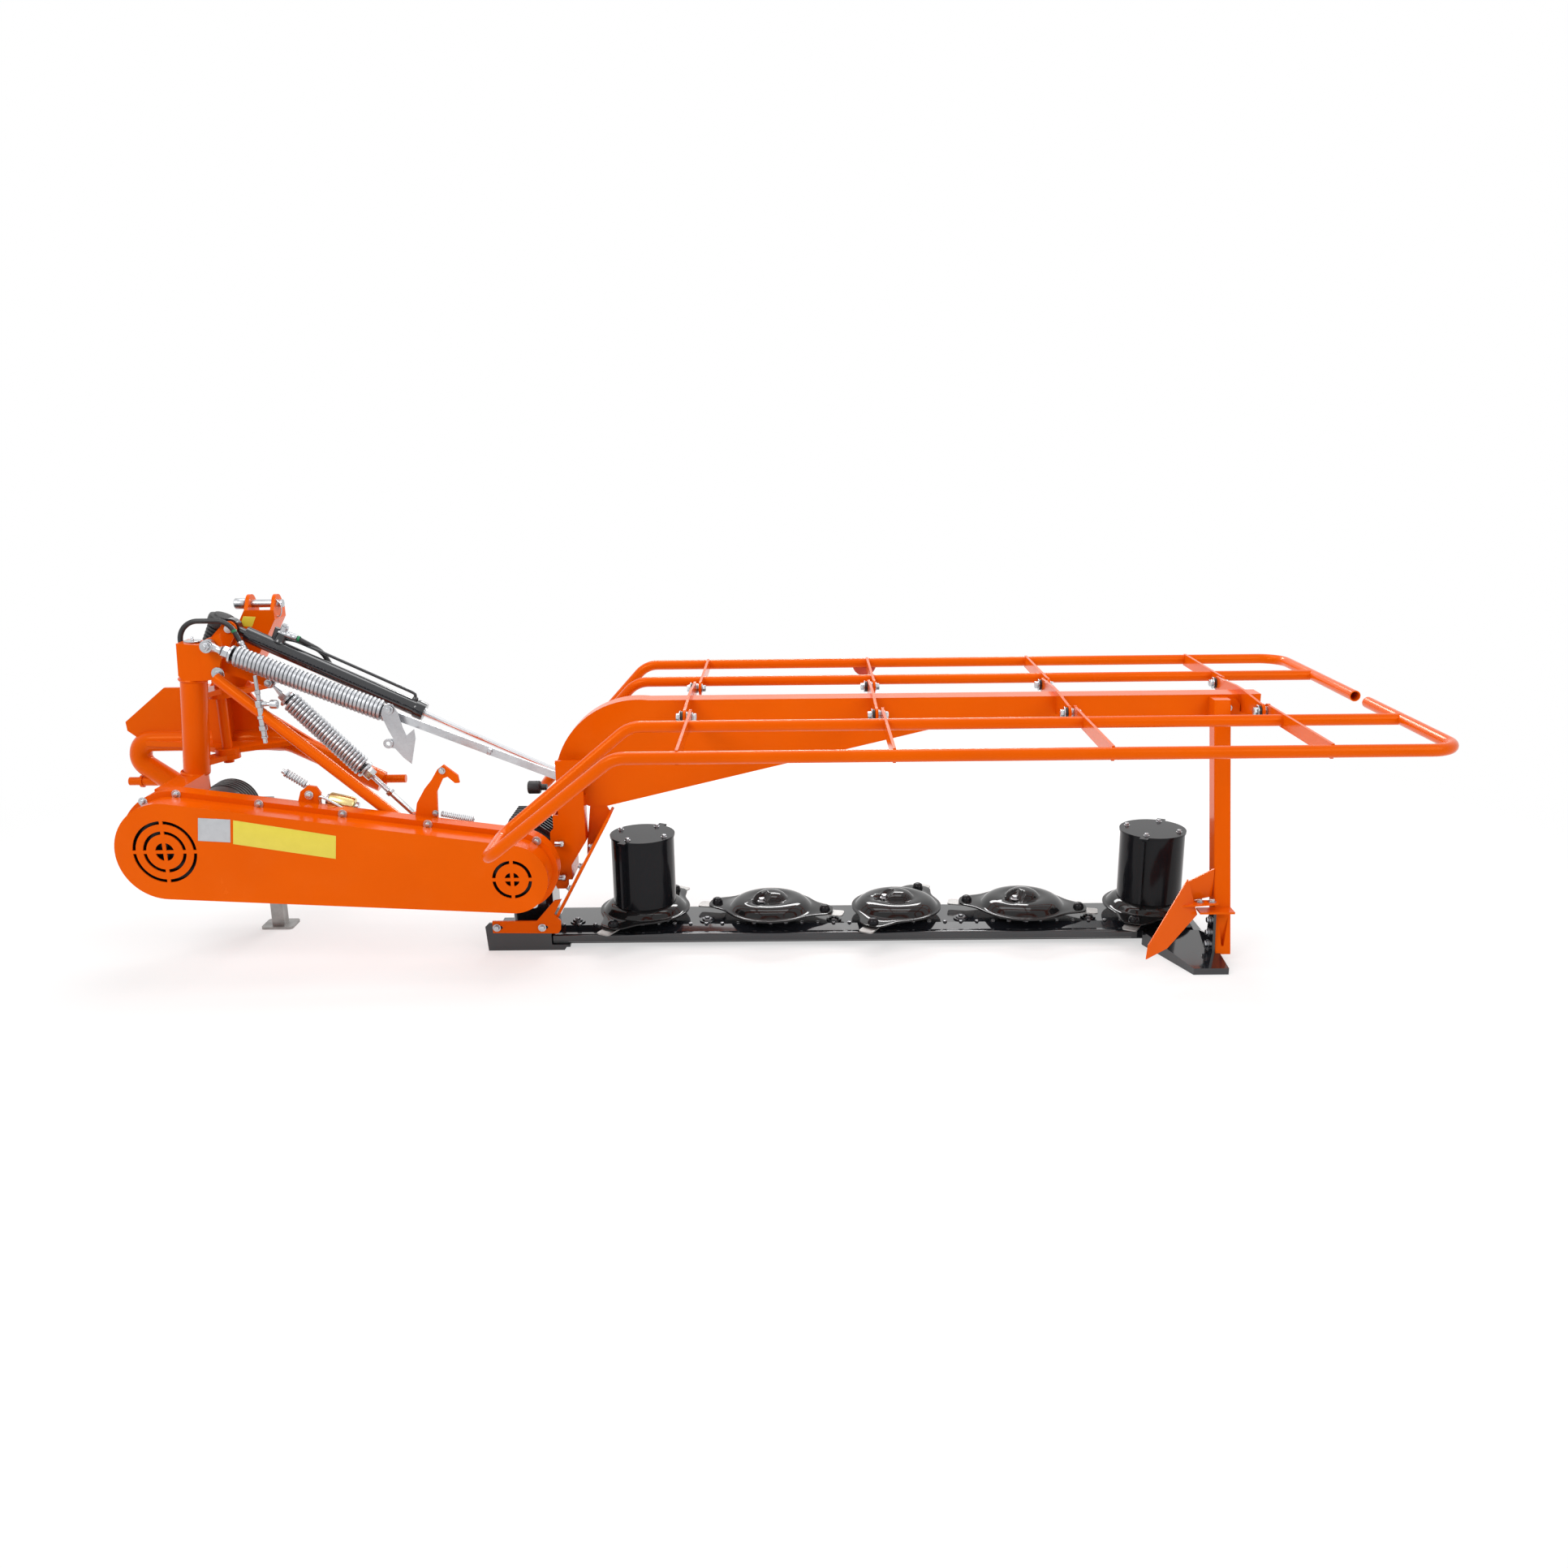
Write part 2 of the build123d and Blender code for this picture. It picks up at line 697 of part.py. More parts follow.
def tube_along(points, radii, size):
    """Round tube or hose along a rounded path."""
    with BuildPart() as run:
        with BuildLine() as path:
            FilletPolyline(*points, radius=radii)
        with BuildSketch(Plane(origin=path.line @ 0, z_dir=path.line % 0)):
            Circle(size)
        sweep()
    return run.part


# Near half: two tubes joined by a bend in front of the belt guard, and four flats
near_foot = (-592.0, 478.0)
near_top_x = -235.0
near_middle_y = (near_outer_y + near_inner_y - 90) / 2
near_outer_run = tube_along(
    [
        (frame_end_x, near_end_y, frame_z),
        (frame_end_x, near_outer_y, frame_z),
        (near_top_x, near_outer_y, frame_z),
        (near_foot[0], near_outer_y + 20, near_foot[1]),
        (near_foot[0], near_middle_y, near_foot[1]),
    ],
    [corner_radius, 90, 50],
    tube_radius,
)
near_inner_run = tube_along(
    [
        (near_foot[0], near_middle_y, near_foot[1]),
        (near_foot[0], near_inner_y - 110, near_foot[1]),
        (near_top_x, near_inner_y, frame_z),
        (frame_end_x, near_inner_y, frame_z),
    ],
    [50, 90],
    inner_tube_radius,
)
with BuildPart() as guard_near:
    add(near_outer_run)
    add(near_inner_run)
    for x in flat_places:
        with BuildSketch(Plane.YZ.offset(x + washer_gap)):
            with Locations(((near_outer_y + near_hinge_y) / 2, hinge_z)):
                Rectangle(near_hinge_y - near_outer_y, flat_height)
            with Locations((near_hinge_y, hinge_z)):
                Circle(lobe_radius)
                Circle(hinge_bolt_radius + 0.3, mode=Mode.SUBTRACT)
        extrude(amount=flat_thick)
    with BuildSketch(Plane.XZ.offset(-near_end_y)):
        with Locations((frame_end_x, frame_z)):
            Circle(tube_bore)
    extrude(amount=open_length, mode=Mode.SUBTRACT)
put(guard_near.part, "guard_near")

# Far half: the same, with a plain half disc for the reflector under its outer tube
far_foot = (-640.0, 380.0)
far_top_x = -290.0
far_middle_y = (far_outer_y + far_inner_y + 60) / 2
far_outer_run = tube_along(
    [
        (frame_end_x, far_end_y, frame_z),
        (frame_end_x, far_outer_y, frame_z),
        (far_top_x, far_outer_y, frame_z),
        (far_foot[0], far_outer_y - 20, far_foot[1]),
        (far_foot[0], far_middle_y, far_foot[1]),
    ],
    [corner_radius, 90, 50],
    tube_radius,
)
far_inner_run = tube_along(
    [
        (far_foot[0], far_middle_y, far_foot[1]),
        (far_foot[0], far_inner_y + 80, far_foot[1]),
        (far_top_x, far_inner_y, frame_z),
        (frame_end_x, far_inner_y, frame_z),
    ],
    [50, 90],
    inner_tube_radius,
)
with BuildPart() as guard_far:
    add(far_outer_run)
    add(far_inner_run)
    for x in flat_places:
        with BuildSketch(Plane.YZ.offset(x + washer_gap)):
            with Locations(((far_outer_y + far_hinge_y) / 2, hinge_z)):
                Rectangle(far_outer_y - far_hinge_y, flat_height)
            with Locations((far_hinge_y, hinge_z)):
                Circle(lobe_radius)
                Circle(hinge_bolt_radius + 0.3, mode=Mode.SUBTRACT)
        extrude(amount=flat_thick)
    with BuildSketch(Plane.XZ.offset(-far_outer_y - 3)):
        with Locations((reflector_x, frame_z - 4)):
            Circle(reflector_radius)
            with Locations((0, reflector_radius / 2)):
                Rectangle(2 * reflector_radius, reflector_radius, mode=Mode.SUBTRACT)
    extrude(amount=6)
    with BuildSketch(Plane.XZ.offset(-far_end_y)):
        with Locations((frame_end_x, frame_z)):
            Circle(tube_bore)
    extrude(amount=-open_length, mode=Mode.SUBTRACT)
put(guard_far.part, "guard_far")


def pill(big, small):
    """Outline round both pulleys, drawn in a plane that looks along the shafts."""
    with BuildSketch() as outline:
        with Locations((big_x, big_z)):
            Circle(big)
        with Locations((small_x, small_z)):
            Circle(small)
        make_hull()
    return outline.sketch


# Belt guard: stepped cover over both pulleys, with rings of vent slots in its face
vent_table = [
    # centre, mean radii of the slotted rings, radius of the quartered hole
    ((big_x, big_z), (90.0, 59.0), 28.0),
    ((small_x, small_z), (54.0,), 22.0),
]
with BuildPart() as belt_guard:
    with BuildSketch(Plane.XZ.offset(-guard_back_y)):
        add(pill(big_radius, small_radius))
    extrude(amount=rim_depth)
    with BuildSketch(Plane.XZ.offset(-guard_back_y + rim_depth)):
        add(pill(big_radius - guard_step, small_radius - guard_step))
    extrude(amount=-guard_front_y + guard_back_y - rim_depth)
    with BuildSketch(Plane.XZ.offset(-guard_back_y)):
        add(pill(big_radius - guard_step - guard_wall, small_radius - guard_step - guard_wall))
    extrude(amount=-guard_front_y + guard_back_y - guard_wall, mode=Mode.SUBTRACT)
    for place, rings, hole in vent_table:
        with BuildSketch(Plane.XZ.offset(-guard_front_y)):
            with Locations(place):
                for ring in rings:
                    Circle(ring + slot_width / 2)
                    Circle(ring - slot_width / 2, mode=Mode.SUBTRACT)
                Circle(hole)
                Rectangle(3 * rings[0], slot_width, mode=Mode.SUBTRACT)
                Rectangle(slot_width, 3 * rings[0], mode=Mode.SUBTRACT)
        extrude(amount=-guard_wall - 1, mode=Mode.SUBTRACT)
put(belt_guard.part, "belt_guard")

# Carrier frame: back plate, sleeve round the gearbox neck, arm, post foot, stand sleeve, hook and tensioner lug
plate_rear_y = guard_back_y + back_plate
hook_x = -840.0
hook_z = 452.0
tension_x = -1225.0
tension_z = 500.0
with BuildPart() as carrier_frame:
    with BuildSketch(Plane.XZ.offset(-guard_back_y)):
        add(pill(big_radius, small_radius))
        with Locations((small_x, small_z)):
            Circle(neck_radius + running_gap, mode=Mode.SUBTRACT)
        with Locations((big_x, big_z)):
            Circle(60, mode=Mode.SUBTRACT)
    extrude(amount=-back_plate)
    with BuildSketch(Plane.XZ.offset(-plate_rear_y)):
        with Locations((small_x, small_z)):
            Circle(neck_radius + sleeve_wall)
            Circle(neck_radius + running_gap, mode=Mode.SUBTRACT)
    extrude(amount=-58)
    with BuildSketch(Plane.XZ.offset(-plate_rear_y)):
        with BuildLine():
            Polyline(
                (big_x + 119, big_z - 52), (small_x - 73, small_z - 31), (small_x - 73, small_z + 28),
                (big_x + 119, big_z + 33), close=True,
            )
        make_face()
    extrude(amount=-70)
    with BuildSketch(Plane.XY.offset(carrier_foot_z)):
        with Locations((post_foot_x, (plate_rear_y + carrier_y) / 2)):
            Rectangle(76, carrier_y - plate_rear_y)
        with Locations((post_foot_x, carrier_y)):
            Circle(38)
    extrude(amount=56)
    with BuildSketch(Plane.XY.offset(345)):
        with Locations((stand_x, (plate_rear_y + stand_y - stand_size / 2 - 5) / 2)):
            Rectangle(60, stand_y - stand_size / 2 - 5 - plate_rear_y)
    extrude(amount=60)
    with BuildSketch(Plane.XY.offset(300)):
        with Locations((stand_x, stand_y)):
            Rectangle(stand_size + 12, stand_size + 12)
            Rectangle(stand_size + 1, stand_size + 1, mode=Mode.SUBTRACT)
    extrude(amount=130)
    with BuildSketch(Plane.XZ.offset(-plate_rear_y)):
        with BuildLine():
            Polyline(
                (hook_x - 72, hook_z - 20), (hook_x - 72, hook_z), (hook_x - 62, hook_z + 50),
                (hook_x - 35, hook_z + 95), (hook_x - 12, hook_z + 122), (hook_x + 8, hook_z + 154),
                (hook_x + 27, hook_z + 168), (hook_x + 68, hook_z + 135), (hook_x + 71, hook_z + 112),
                (hook_x + 58, hook_z + 111), (hook_x + 37, hook_z + 131), (hook_x + 23, hook_z + 126),
                (hook_x + 2, hook_z + 85), (hook_x - 2, hook_z), (hook_x - 2, hook_z - 40), close=True,
            )
        make_face()
        with Locations((hook_x + 22, hook_z + 150)):
            Circle(4.5, mode=Mode.SUBTRACT)
    extrude(amount=-back_plate)
    with BuildSketch(Plane.XZ.offset(-plate_rear_y)):
        with BuildLine():
            Polyline(
                (tension_x - 38, tension_z - 20), (tension_x - 38, tension_z), (tension_x - 24, tension_z + 42),
                (tension_x, tension_z + 60), (tension_x + 24, tension_z + 56), (tension_x + 36, tension_z + 36),
                (tension_x + 30, tension_z - 30), close=True,
            )
        make_face()
    extrude(amount=-back_plate)
    with BuildSketch(Plane.XY.offset(308)):
        with Locations((breakaway_foot[0], (plate_rear_y + breakaway_y - 6 - running_gap) / 2)):
            Rectangle(34, breakaway_y - 6 - running_gap - plate_rear_y)
    extrude(amount=44)
    with BuildSketch(Plane.XZ.offset(-breakaway_y + 6 + running_gap)):
        with BuildLine():
            Polyline(
                (breakaway_foot[0] - 17, 308), (breakaway_foot[0] + 17, 308),
                (breakaway_foot[0] + 14, breakaway_foot[1]), (breakaway_foot[0] - 14, breakaway_foot[1]),
                close=True,
            )
        make_face()
        with Locations(breakaway_foot):
            Circle(14)
            Circle(breakaway_pin + running_gap, mode=Mode.SUBTRACT)
    extrude(amount=10)
put(carrier_frame.part, "carrier_frame")


def post_axis_x(z):
    """X of the leaning post's middle at a height."""
    share = (z - carrier_foot_z) / (head_bottom - carrier_foot_z)
    return post_foot_x + (post_head_x - post_foot_x) * share


# Carrier post with its fabricated head, the cheeks of the struts and the two lugs of the swing pin
head_side = side_plate(
    [
        (post_head_x - 26, head_bottom + 26), (post_head_x - 12, head_bottom + 10),
        (post_head_x + 58, head_bottom + 10), (post_head_x + 74, head_bottom + 45),
        (post_head_x + 76, head_top - 8), (post_head_x + 50, head_top), (post_head_x - 20, head_top + 6),
    ],
    carrier_y - 42,
    86,
)
near_cheek = side_plate(
    [
        (post_head_x + 50, head_bottom + 12), (post_head_x + 96, head_bottom + 14),
        (post_head_x + 108, head_bottom + 60), (spring_a[0] + 34, spring_a[1] - 20),
        (spring_a[0] + 30, spring_a[1] + 34), (spring_a[0] - 30, spring_a[1] + 4), (post_head_x + 50, head_top),
    ],
    carrier_y - 46,
    10,
)
spring_arm = side_plate(
    [
        (post_head_x + 50, head_bottom + 50), (post_head_x + 50, head_top - 20),
        (breakaway_eye[0] - 10, breakaway_eye[1] + 22), (breakaway_eye[0] + 6, breakaway_eye[1] + 12),
        (breakaway_eye[0] + 6, breakaway_eye[1] - 14), (breakaway_eye[0] - 20, breakaway_eye[1] - 6),
    ],
    breakaway_y - 16 - running_gap,
    10,
)
with BuildPart() as carrier_post:
    for z in (carrier_foot_z + 56, head_bottom + 30):
        with BuildSketch(Plane.XY.offset(z)):
            with Locations((post_axis_x(z), carrier_y)):
                Circle(carrier_radius)
    loft()
    add(head_side)
    add(near_cheek)
    add(spring_arm)
    with BuildSketch(Plane.XY.offset(socket_z)):
        with Locations((socket_x, socket_y)):
            Circle(socket_radius)
    extrude(amount=socket_height)
    with BuildSketch(Plane.XZ.offset(-breakaway_y)):
        with Locations(breakaway_eye):
            Circle(breakaway_pin + running_gap)
    extrude(amount=30, mode=Mode.SUBTRACT)
    for low in (upper_lug_z, lower_lug_z):
        lug_x = post_axis_x(low)
        with BuildSketch(Plane.XY.offset(low)):
            with BuildLine():
                Polyline(
                    (lug_x - 30, carrier_y), (lug_x + 30, carrier_y - 20),
                    (swing_x + 30, swing_y), (swing_x - 36, swing_y), close=True,
                )
            make_face()
            with Locations((swing_x, swing_y)):
                Circle(lug_radius)
                Circle(pin_radius + running_gap, mode=Mode.SUBTRACT)
        extrude(amount=lug_thick)
    with BuildSketch(Plane.XY.offset(head_bottom + 40)):
        with Locations((post_head_x + 20, (carrier_y + 40 + cylinder_y + 27) / 2)):
            Rectangle(70, cylinder_y + 27 - carrier_y - 40)
    extrude(amount=72)
    for face in (cylinder_y - 27, cylinder_y + 17):
        with BuildSketch(Plane.XZ.offset(-face)):
            with BuildLine():
                Polyline(
                    (post_head_x + 20, head_bottom + 40), (post_head_x + 70, head_bottom + 40),
                    (cylinder_a[0] + 16, cylinder_a[1] - 18), (cylinder_a[0] - 10, cylinder_a[1] + 22),
                    (post_head_x + 20, head_top - 20), close=True,
                )
            make_face()
            with Locations(cylinder_a):
                Circle(24)
                Circle(12, mode=Mode.SUBTRACT)
        extrude(amount=-10)
    with BuildSketch(Plane.XZ.offset(-carrier_y + 46)):
        with Locations(spring_a):
            Circle(22)
    extrude(amount=-10)
    with BuildSketch(Plane.XZ.offset(-carrier_y + 60)):
        with Locations(spring_a):
            Circle(spring_pin_radius)
    extrude(amount=-30, mode=Mode.SUBTRACT)
put(carrier_post.part, "carrier_post")

with BuildPart() as head_pins:
    with BuildSketch(Plane.XZ.offset(-(cylinder_y - 32))):
        with Locations(cylinder_a):
            Circle(12)
    extrude(amount=-64)
    with BuildSketch(Plane.XZ.offset(-(spring_y - 18))):
        with Locations(spring_a):
            Circle(spring_pin_radius)
    extrude(amount=-(carrier_y - 36 - spring_y + 18))
put(head_pins.part, "head_pins")

# Brace from the head down to the back plate
brace_line = round_bar((-1518, -40, 866), (-877, -170, 380), 18)
with BuildPart() as brace:
    add(brace_line)
    split(bisect_by=Plane.XZ.offset(-plate_rear_y - running_gap), keep=Keep.BOTTOM)
put(brace.part, "brace")

# Headstock: swing lugs, pillar and gusset on a bow tube with the lower link pins at its ends
upper_flange_top = upper_lug_z - running_gap
upper_flange_low = upper_flange_top - lug_thick
bow_left = (-1835.0, 455.0)
bow_right = (-1140.0, 452.0)
link_table = [
    # radius of the free end, its tip, its collar, direction of the tip
    (link_pin_radius, link_left_tip, left_collar_x, -1),
    (right_pin_radius, link_right_tip, right_collar_x, 1),
]
with BuildPart() as headstock:
    with BuildLine() as bow_line:
        FilletPolyline(
            (bow_left[0], bow_y, bow_left[1]),
            (bow_left[0] - 105, bow_y, bow_left[1] + 75),
            (bow_left[0] - 90, bow_y, bow_z),
            (-1440, bow_y, bow_z),
            (bow_right[0], bow_y, bow_right[1]),
            radius=[45, 45, 150],
        )
    with BuildSketch(Plane(origin=bow_line.line @ 0, z_dir=bow_line.line % 0)):
        Circle(bow_radius)
    sweep()
    with BuildSketch(Plane.XZ.offset(-(bow_y + 6))):
        with BuildLine():
            Polyline(
                (-1966, 636), (-1968, 666), (-1826, upper_flange_low + 5), (-1560, upper_flange_low + 5),
                (-1505, 701), (-1328, 579), (-1400, 560), (-1900, bow_z - 15), close=True,
            )
        make_face()
    extrude(amount=12)
    with BuildSketch(Plane.XY.offset(upper_flange_low)):
        with BuildLine():
            Polyline(
                (swing_x - 36, swing_y), (swing_x + 36, swing_y), (-1480, bow_y), (-1690, bow_y), close=True,
            )
        make_face()
        with Locations((swing_x, swing_y)):
            Circle(lug_radius)
            Circle(pin_radius + running_gap, mode=Mode.SUBTRACT)
    extrude(amount=lug_thick)
    with BuildSketch(Plane.XY.offset(lower_lug_z + lug_thick + running_gap)):
        with BuildLine():
            Polyline(
                (swing_x - 36, swing_y), (swing_x + 36, swing_y), (-1406, bow_y - 46), (-1406, bow_y),
                (-1895, bow_y), (-1895, bow_y - 36), (-1760, bow_y - 60), close=True,
            )
        make_face()
        with Locations((swing_x, swing_y)):
            Circle(lug_radius)
            Circle(pin_radius + running_gap, mode=Mode.SUBTRACT)
    extrude(amount=lug_thick)
    with BuildSketch(Plane.XY.offset(lower_lug_z + lug_thick + 1)):
        with Locations((-1634, bow_y - 40)):
            Rectangle(46, 68)
    extrude(amount=upper_flange_low - lower_lug_z - lug_thick + 4)
    for radius, tip, collar, way in link_table:
        with BuildSketch(Plane.YZ.offset(collar + way * 30)):
            with Locations((bow_y, link_pin_z)):
                Circle(radius + 7.3)
        extrude(amount=-way * (30 + link_collar), mode=Mode.SUBTRACT)
        with BuildSketch(Plane.YZ.offset(collar)):
            with Locations((bow_y, link_pin_z)):
                Circle(shank_radius + 0.1)
        extrude(amount=-way * (shank_length + 0.1), mode=Mode.SUBTRACT)
put(headstock.part, "headstock")

with BuildPart() as link_pins:
    for radius, tip, collar, way in link_table:
        with BuildSketch(Plane.YZ.offset(collar)):
            with Locations((bow_y, link_pin_z)):
                Circle(radius)
        extrude(amount=tip - collar)
        with BuildSketch(Plane.YZ.offset(collar)):
            with Locations((bow_y, link_pin_z)):
                Circle(radius + 7)
        extrude(amount=-way * link_collar)
        with BuildSketch(Plane.YZ.offset(collar - way * link_collar)):
            with Locations((bow_y, link_pin_z)):
                Circle(shank_radius)
        extrude(amount=-way * (shank_length - link_collar))
put(link_pins.part, "link_pins")

with BuildPart() as swing_pin:
    with BuildSketch(Plane.XY.offset(lower_lug_z - 14)):
        with Locations((swing_x, swing_y)):
            Circle(pin_radius)
    extrude(amount=upper_lug_z + lug_thick + 14 - lower_lug_z + 14)
put(swing_pin.part, "swing_pin")

# Mast: deep leaning box, open in front at its top, with two short ears for the top link pin
mast_shoulder = top_pin_z - 16
with BuildPart() as mast:
    with BuildSketch(Plane.XZ.offset(-(bow_y + mast_depth / 2))):
        with BuildLine():
            Polyline(
                (-1655, upper_lug_z - running_gap), (-1540, upper_lug_z - running_gap),
                (top_pin_x + mast_width / 2, mast_shoulder - 30), (top_pin_x + mast_width / 2, mast_shoulder),
                (top_pin_x - mast_width / 2, mast_shoulder), close=True,
            )
        make_face()
    extrude(amount=mast_depth)
    with BuildSketch(Plane.XY.offset(top_pin_z - mast_pocket)):
        with Locations((top_pin_x, bow_y + mast_wall / 2)):
            Rectangle(mast_width - 2 * mast_wall, mast_depth - mast_wall)
    extrude(amount=mast_pocket, mode=Mode.SUBTRACT)
    for side in (-1, 1):
        with BuildSketch(Plane.YZ.offset(top_pin_x + side * (mast_width - mast_wall) / 2 - mast_wall / 2)):
            with Locations((bow_y, mast_shoulder - 2)):
                Rectangle(mast_depth, 4)
            with Locations((bow_y, top_pin_z)):
                Circle(mast_ear)
            make_hull()
            with Locations((bow_y, top_pin_z)):
                Circle(top_pin_radius + 0.1, mode=Mode.SUBTRACT)
        extrude(amount=mast_wall)
put(mast.part, "mast")

with BuildPart() as top_link_pin:
    with BuildSketch(Plane.YZ.offset(top_pin_x - 93)):
        with Locations((bow_y, top_pin_z)):
            Circle(top_pin_radius)
    extrude(amount=155)
put(top_link_pin.part, "top_link_pin")

# Lift cylinder: barrel hinged on the head, rod that pulls on the web of the beam
cylinder_length = hypot(cylinder_b[0] - cylinder_a[0], cylinder_b[1] - cylinder_a[1])
rod_start = barrel_length - 80
along_x = (cylinder_b[0] - cylinder_a[0]) / cylinder_length
along_z = (cylinder_b[1] - cylinder_a[1]) / cylinder_length


def beside_barrel(distance, height):
    """X and Z of a point some way along the cylinder and some height above its axis."""
    return (
        cylinder_a[0] + along_x * distance - along_z * height,
        cylinder_a[1] + along_z * distance + along_x * height,
    )


port_foot = beside_barrel(port_distance, barrel_radius - 4)
port_plane = Plane(
    origin=(port_foot[0], cylinder_y, port_foot[1]),
    x_dir=(0, 1, 0),
    z_dir=(-along_z, 0, along_x),
)
with BuildPart() as lift_barrel:
    with BuildSketch(strut_plane(cylinder_a, cylinder_b, cylinder_y, 48)):
        Circle(barrel_radius)
    extrude(amount=barrel_length - 48)
    with BuildSketch(strut_plane(cylinder_a, cylinder_b, cylinder_y, 18)):
        Circle(14.5)
    extrude(amount=40)
    with BuildSketch(strut_plane(cylinder_a, cylinder_b, cylinder_y, 60)):
        Circle(rod_radius + 1)
    extrude(amount=barrel_length, mode=Mode.SUBTRACT)
    with BuildSketch(strut_plane(cylinder_a, cylinder_b, cylinder_y, barrel_length - 30)):
        Circle(barrel_radius + 4)
        Circle(barrel_radius - 2, mode=Mode.SUBTRACT)
    extrude(amount=30)
    with BuildSketch(Plane.XZ.offset(-cylinder_y - 15)):
        with Locations(cylinder_a):
            Circle(30)
            Circle(12.3, mode=Mode.SUBTRACT)
    extrude(amount=30)
    with BuildSketch(port_plane):
        Circle(port_radius)
    extrude(amount=port_height - barrel_radius + 4)
put(lift_barrel.part, "lift_barrel")

# Hoses: a loop over the head, and the feed from the port to the far side of the barrel
hose_start = beside_barrel(port_distance + port_radius + 1, hose_leaves)
hose_behind = cylinder_y + barrel_radius + hose_radius + 1.3
feed_points = [
    (hose_start[0], cylinder_y, hose_start[1]),
    (-1310, cylinder_y, 962),
    (-1246, cylinder_y + 27, 914),
    (-1222, hose_behind, 860),
    (-1180, hose_behind, 840),
]
feed_hose = tube_along(feed_points, [90, 80, 60], hose_radius)
put(feed_hose, "feed_hose")
loop_points = [
    (socket_x, socket_y, socket_z + socket_height + running_gap),
    (socket_x, socket_y, 1025),
    (-1500, socket_y, 1025),
    (-1452, socket_y - 8, 925),
]
loop_hose = tube_along(loop_points, [60, 60], hose_radius)
put(loop_hose, "loop_hose")

with BuildPart() as lift_rod:
    with BuildSketch(strut_plane(cylinder_a, cylinder_b, cylinder_y, rod_start)):
        Circle(rod_radius)
    extrude(amount=cylinder_length - rod_start - 20)
    with BuildSketch(Plane.XZ.offset(-cylinder_y - 16)):
        with Locations(cylinder_b):
            Circle(26)
            Circle(12.3, mode=Mode.SUBTRACT)
    extrude(amount=32)
put(lift_rod.part, "lift_rod")

with BuildPart() as rod_pin:
    with BuildSketch(Plane.XZ.offset(-(cylinder_y - 18))):
        with Locations(cylinder_b):
            Circle(12)
    extrude(amount=-40)
put(rod_pin.part, "rod_pin")

# Balance spring over its draw bar, with the latch plate of the transport stop at its end
spring_full = hypot(spring_b[0] - spring_a[0], spring_b[1] - spring_a[1])
with BuildPart() as balance_spring:
    with BuildSketch(strut_plane(spring_a, spring_b, spring_y, spring_start)):
        Circle(spring_radius)
        Circle(spring_radius - spring_wall, mode=Mode.SUBTRACT)
    extrude(amount=spring_length)
    with BuildSketch(strut_plane(spring_a, spring_b, spring_y, 10)):
        Circle(11.5)
    extrude(amount=spring_start - 10)
    with BuildSketch(strut_plane(spring_a, spring_b, spring_y, spring_start - 6)):
        Circle(spring_radius - 2)
    extrude(amount=16)
    with BuildSketch(Plane.XZ.offset(-spring_y - 12)):
        with Locations(spring_a):
            Circle(20)
            Circle(spring_pin_radius + running_gap, mode=Mode.SUBTRACT)
    extrude(amount=24)
put(balance_spring.part, "balance_spring")

latch_x = -1012.0
latch_z = 758.0
with BuildPart() as latch_plate:
    with BuildSketch(Plane.XZ.offset(-spring_y + spring_radius + 6.3)):
        with BuildLine():
            Polyline(
                (latch_x - 12, latch_z - 14), (latch_x - 12, latch_z + 12), (latch_x + 22, latch_z + 12),
                (latch_x + 34, latch_z - 14), (latch_x + 44, latch_z - 70), (latch_x + 56, latch_z - 94),
                (latch_x + 81, latch_z - 84), (latch_x + 76, latch_z - 122), (latch_x + 62, latch_z - 172),
                (latch_x + 12, latch_z - 140), (latch_x - 14, latch_z - 118), (latch_x - 12, latch_z - 92),
                (latch_x + 12, latch_z - 100), (latch_x + 30, latch_z - 118), (latch_x + 14, latch_z - 60),
                close=True,
            )
        make_face()
        with Locations((latch_x, latch_z - 106)):
            Circle(5, mode=Mode.SUBTRACT)
    extrude(amount=-6)
put(latch_plate.part, "latch_plate")

with BuildPart() as draw_bar:
    with BuildSketch(strut_plane(spring_a, spring_b, spring_y, 420)):
        Rectangle(10, 24)
    extrude(amount=spring_full - 420)
    with BuildSketch(Plane.XZ.offset(-spring_y - 5)):
        with Locations(spring_b):
            Circle(17)
    extrude(amount=10)
put(draw_bar.part, "draw_bar")

# Breakaway spring between the arm of the head and the lug in front of the belt drive
breakaway_full = hypot(breakaway_foot[0] - breakaway_eye[0], breakaway_foot[1] - breakaway_eye[1])
with BuildPart() as lower_spring:
    with BuildSketch(strut_plane(breakaway_eye, breakaway_foot, breakaway_y, 10)):
        Circle(breakaway_rod)
    extrude(amount=breakaway_full - 18)
    with BuildSketch(strut_plane(breakaway_eye, breakaway_foot, breakaway_y, breakaway_start)):
        Circle(spring_radius)
    extrude(amount=breakaway_length)
    for end, eye in ((breakaway_eye, 18), (breakaway_foot, 13)):
        with BuildSketch(Plane.XZ.offset(-breakaway_y - 6)):
            with Locations(end):
                Circle(eye)
        extrude(amount=12)
        with BuildSketch(Plane.XZ.offset(-breakaway_y - 12)):
            with Locations(end):
                Circle(breakaway_pin)
        extrude(amount=32)
put(lower_spring.part, "lower_spring")

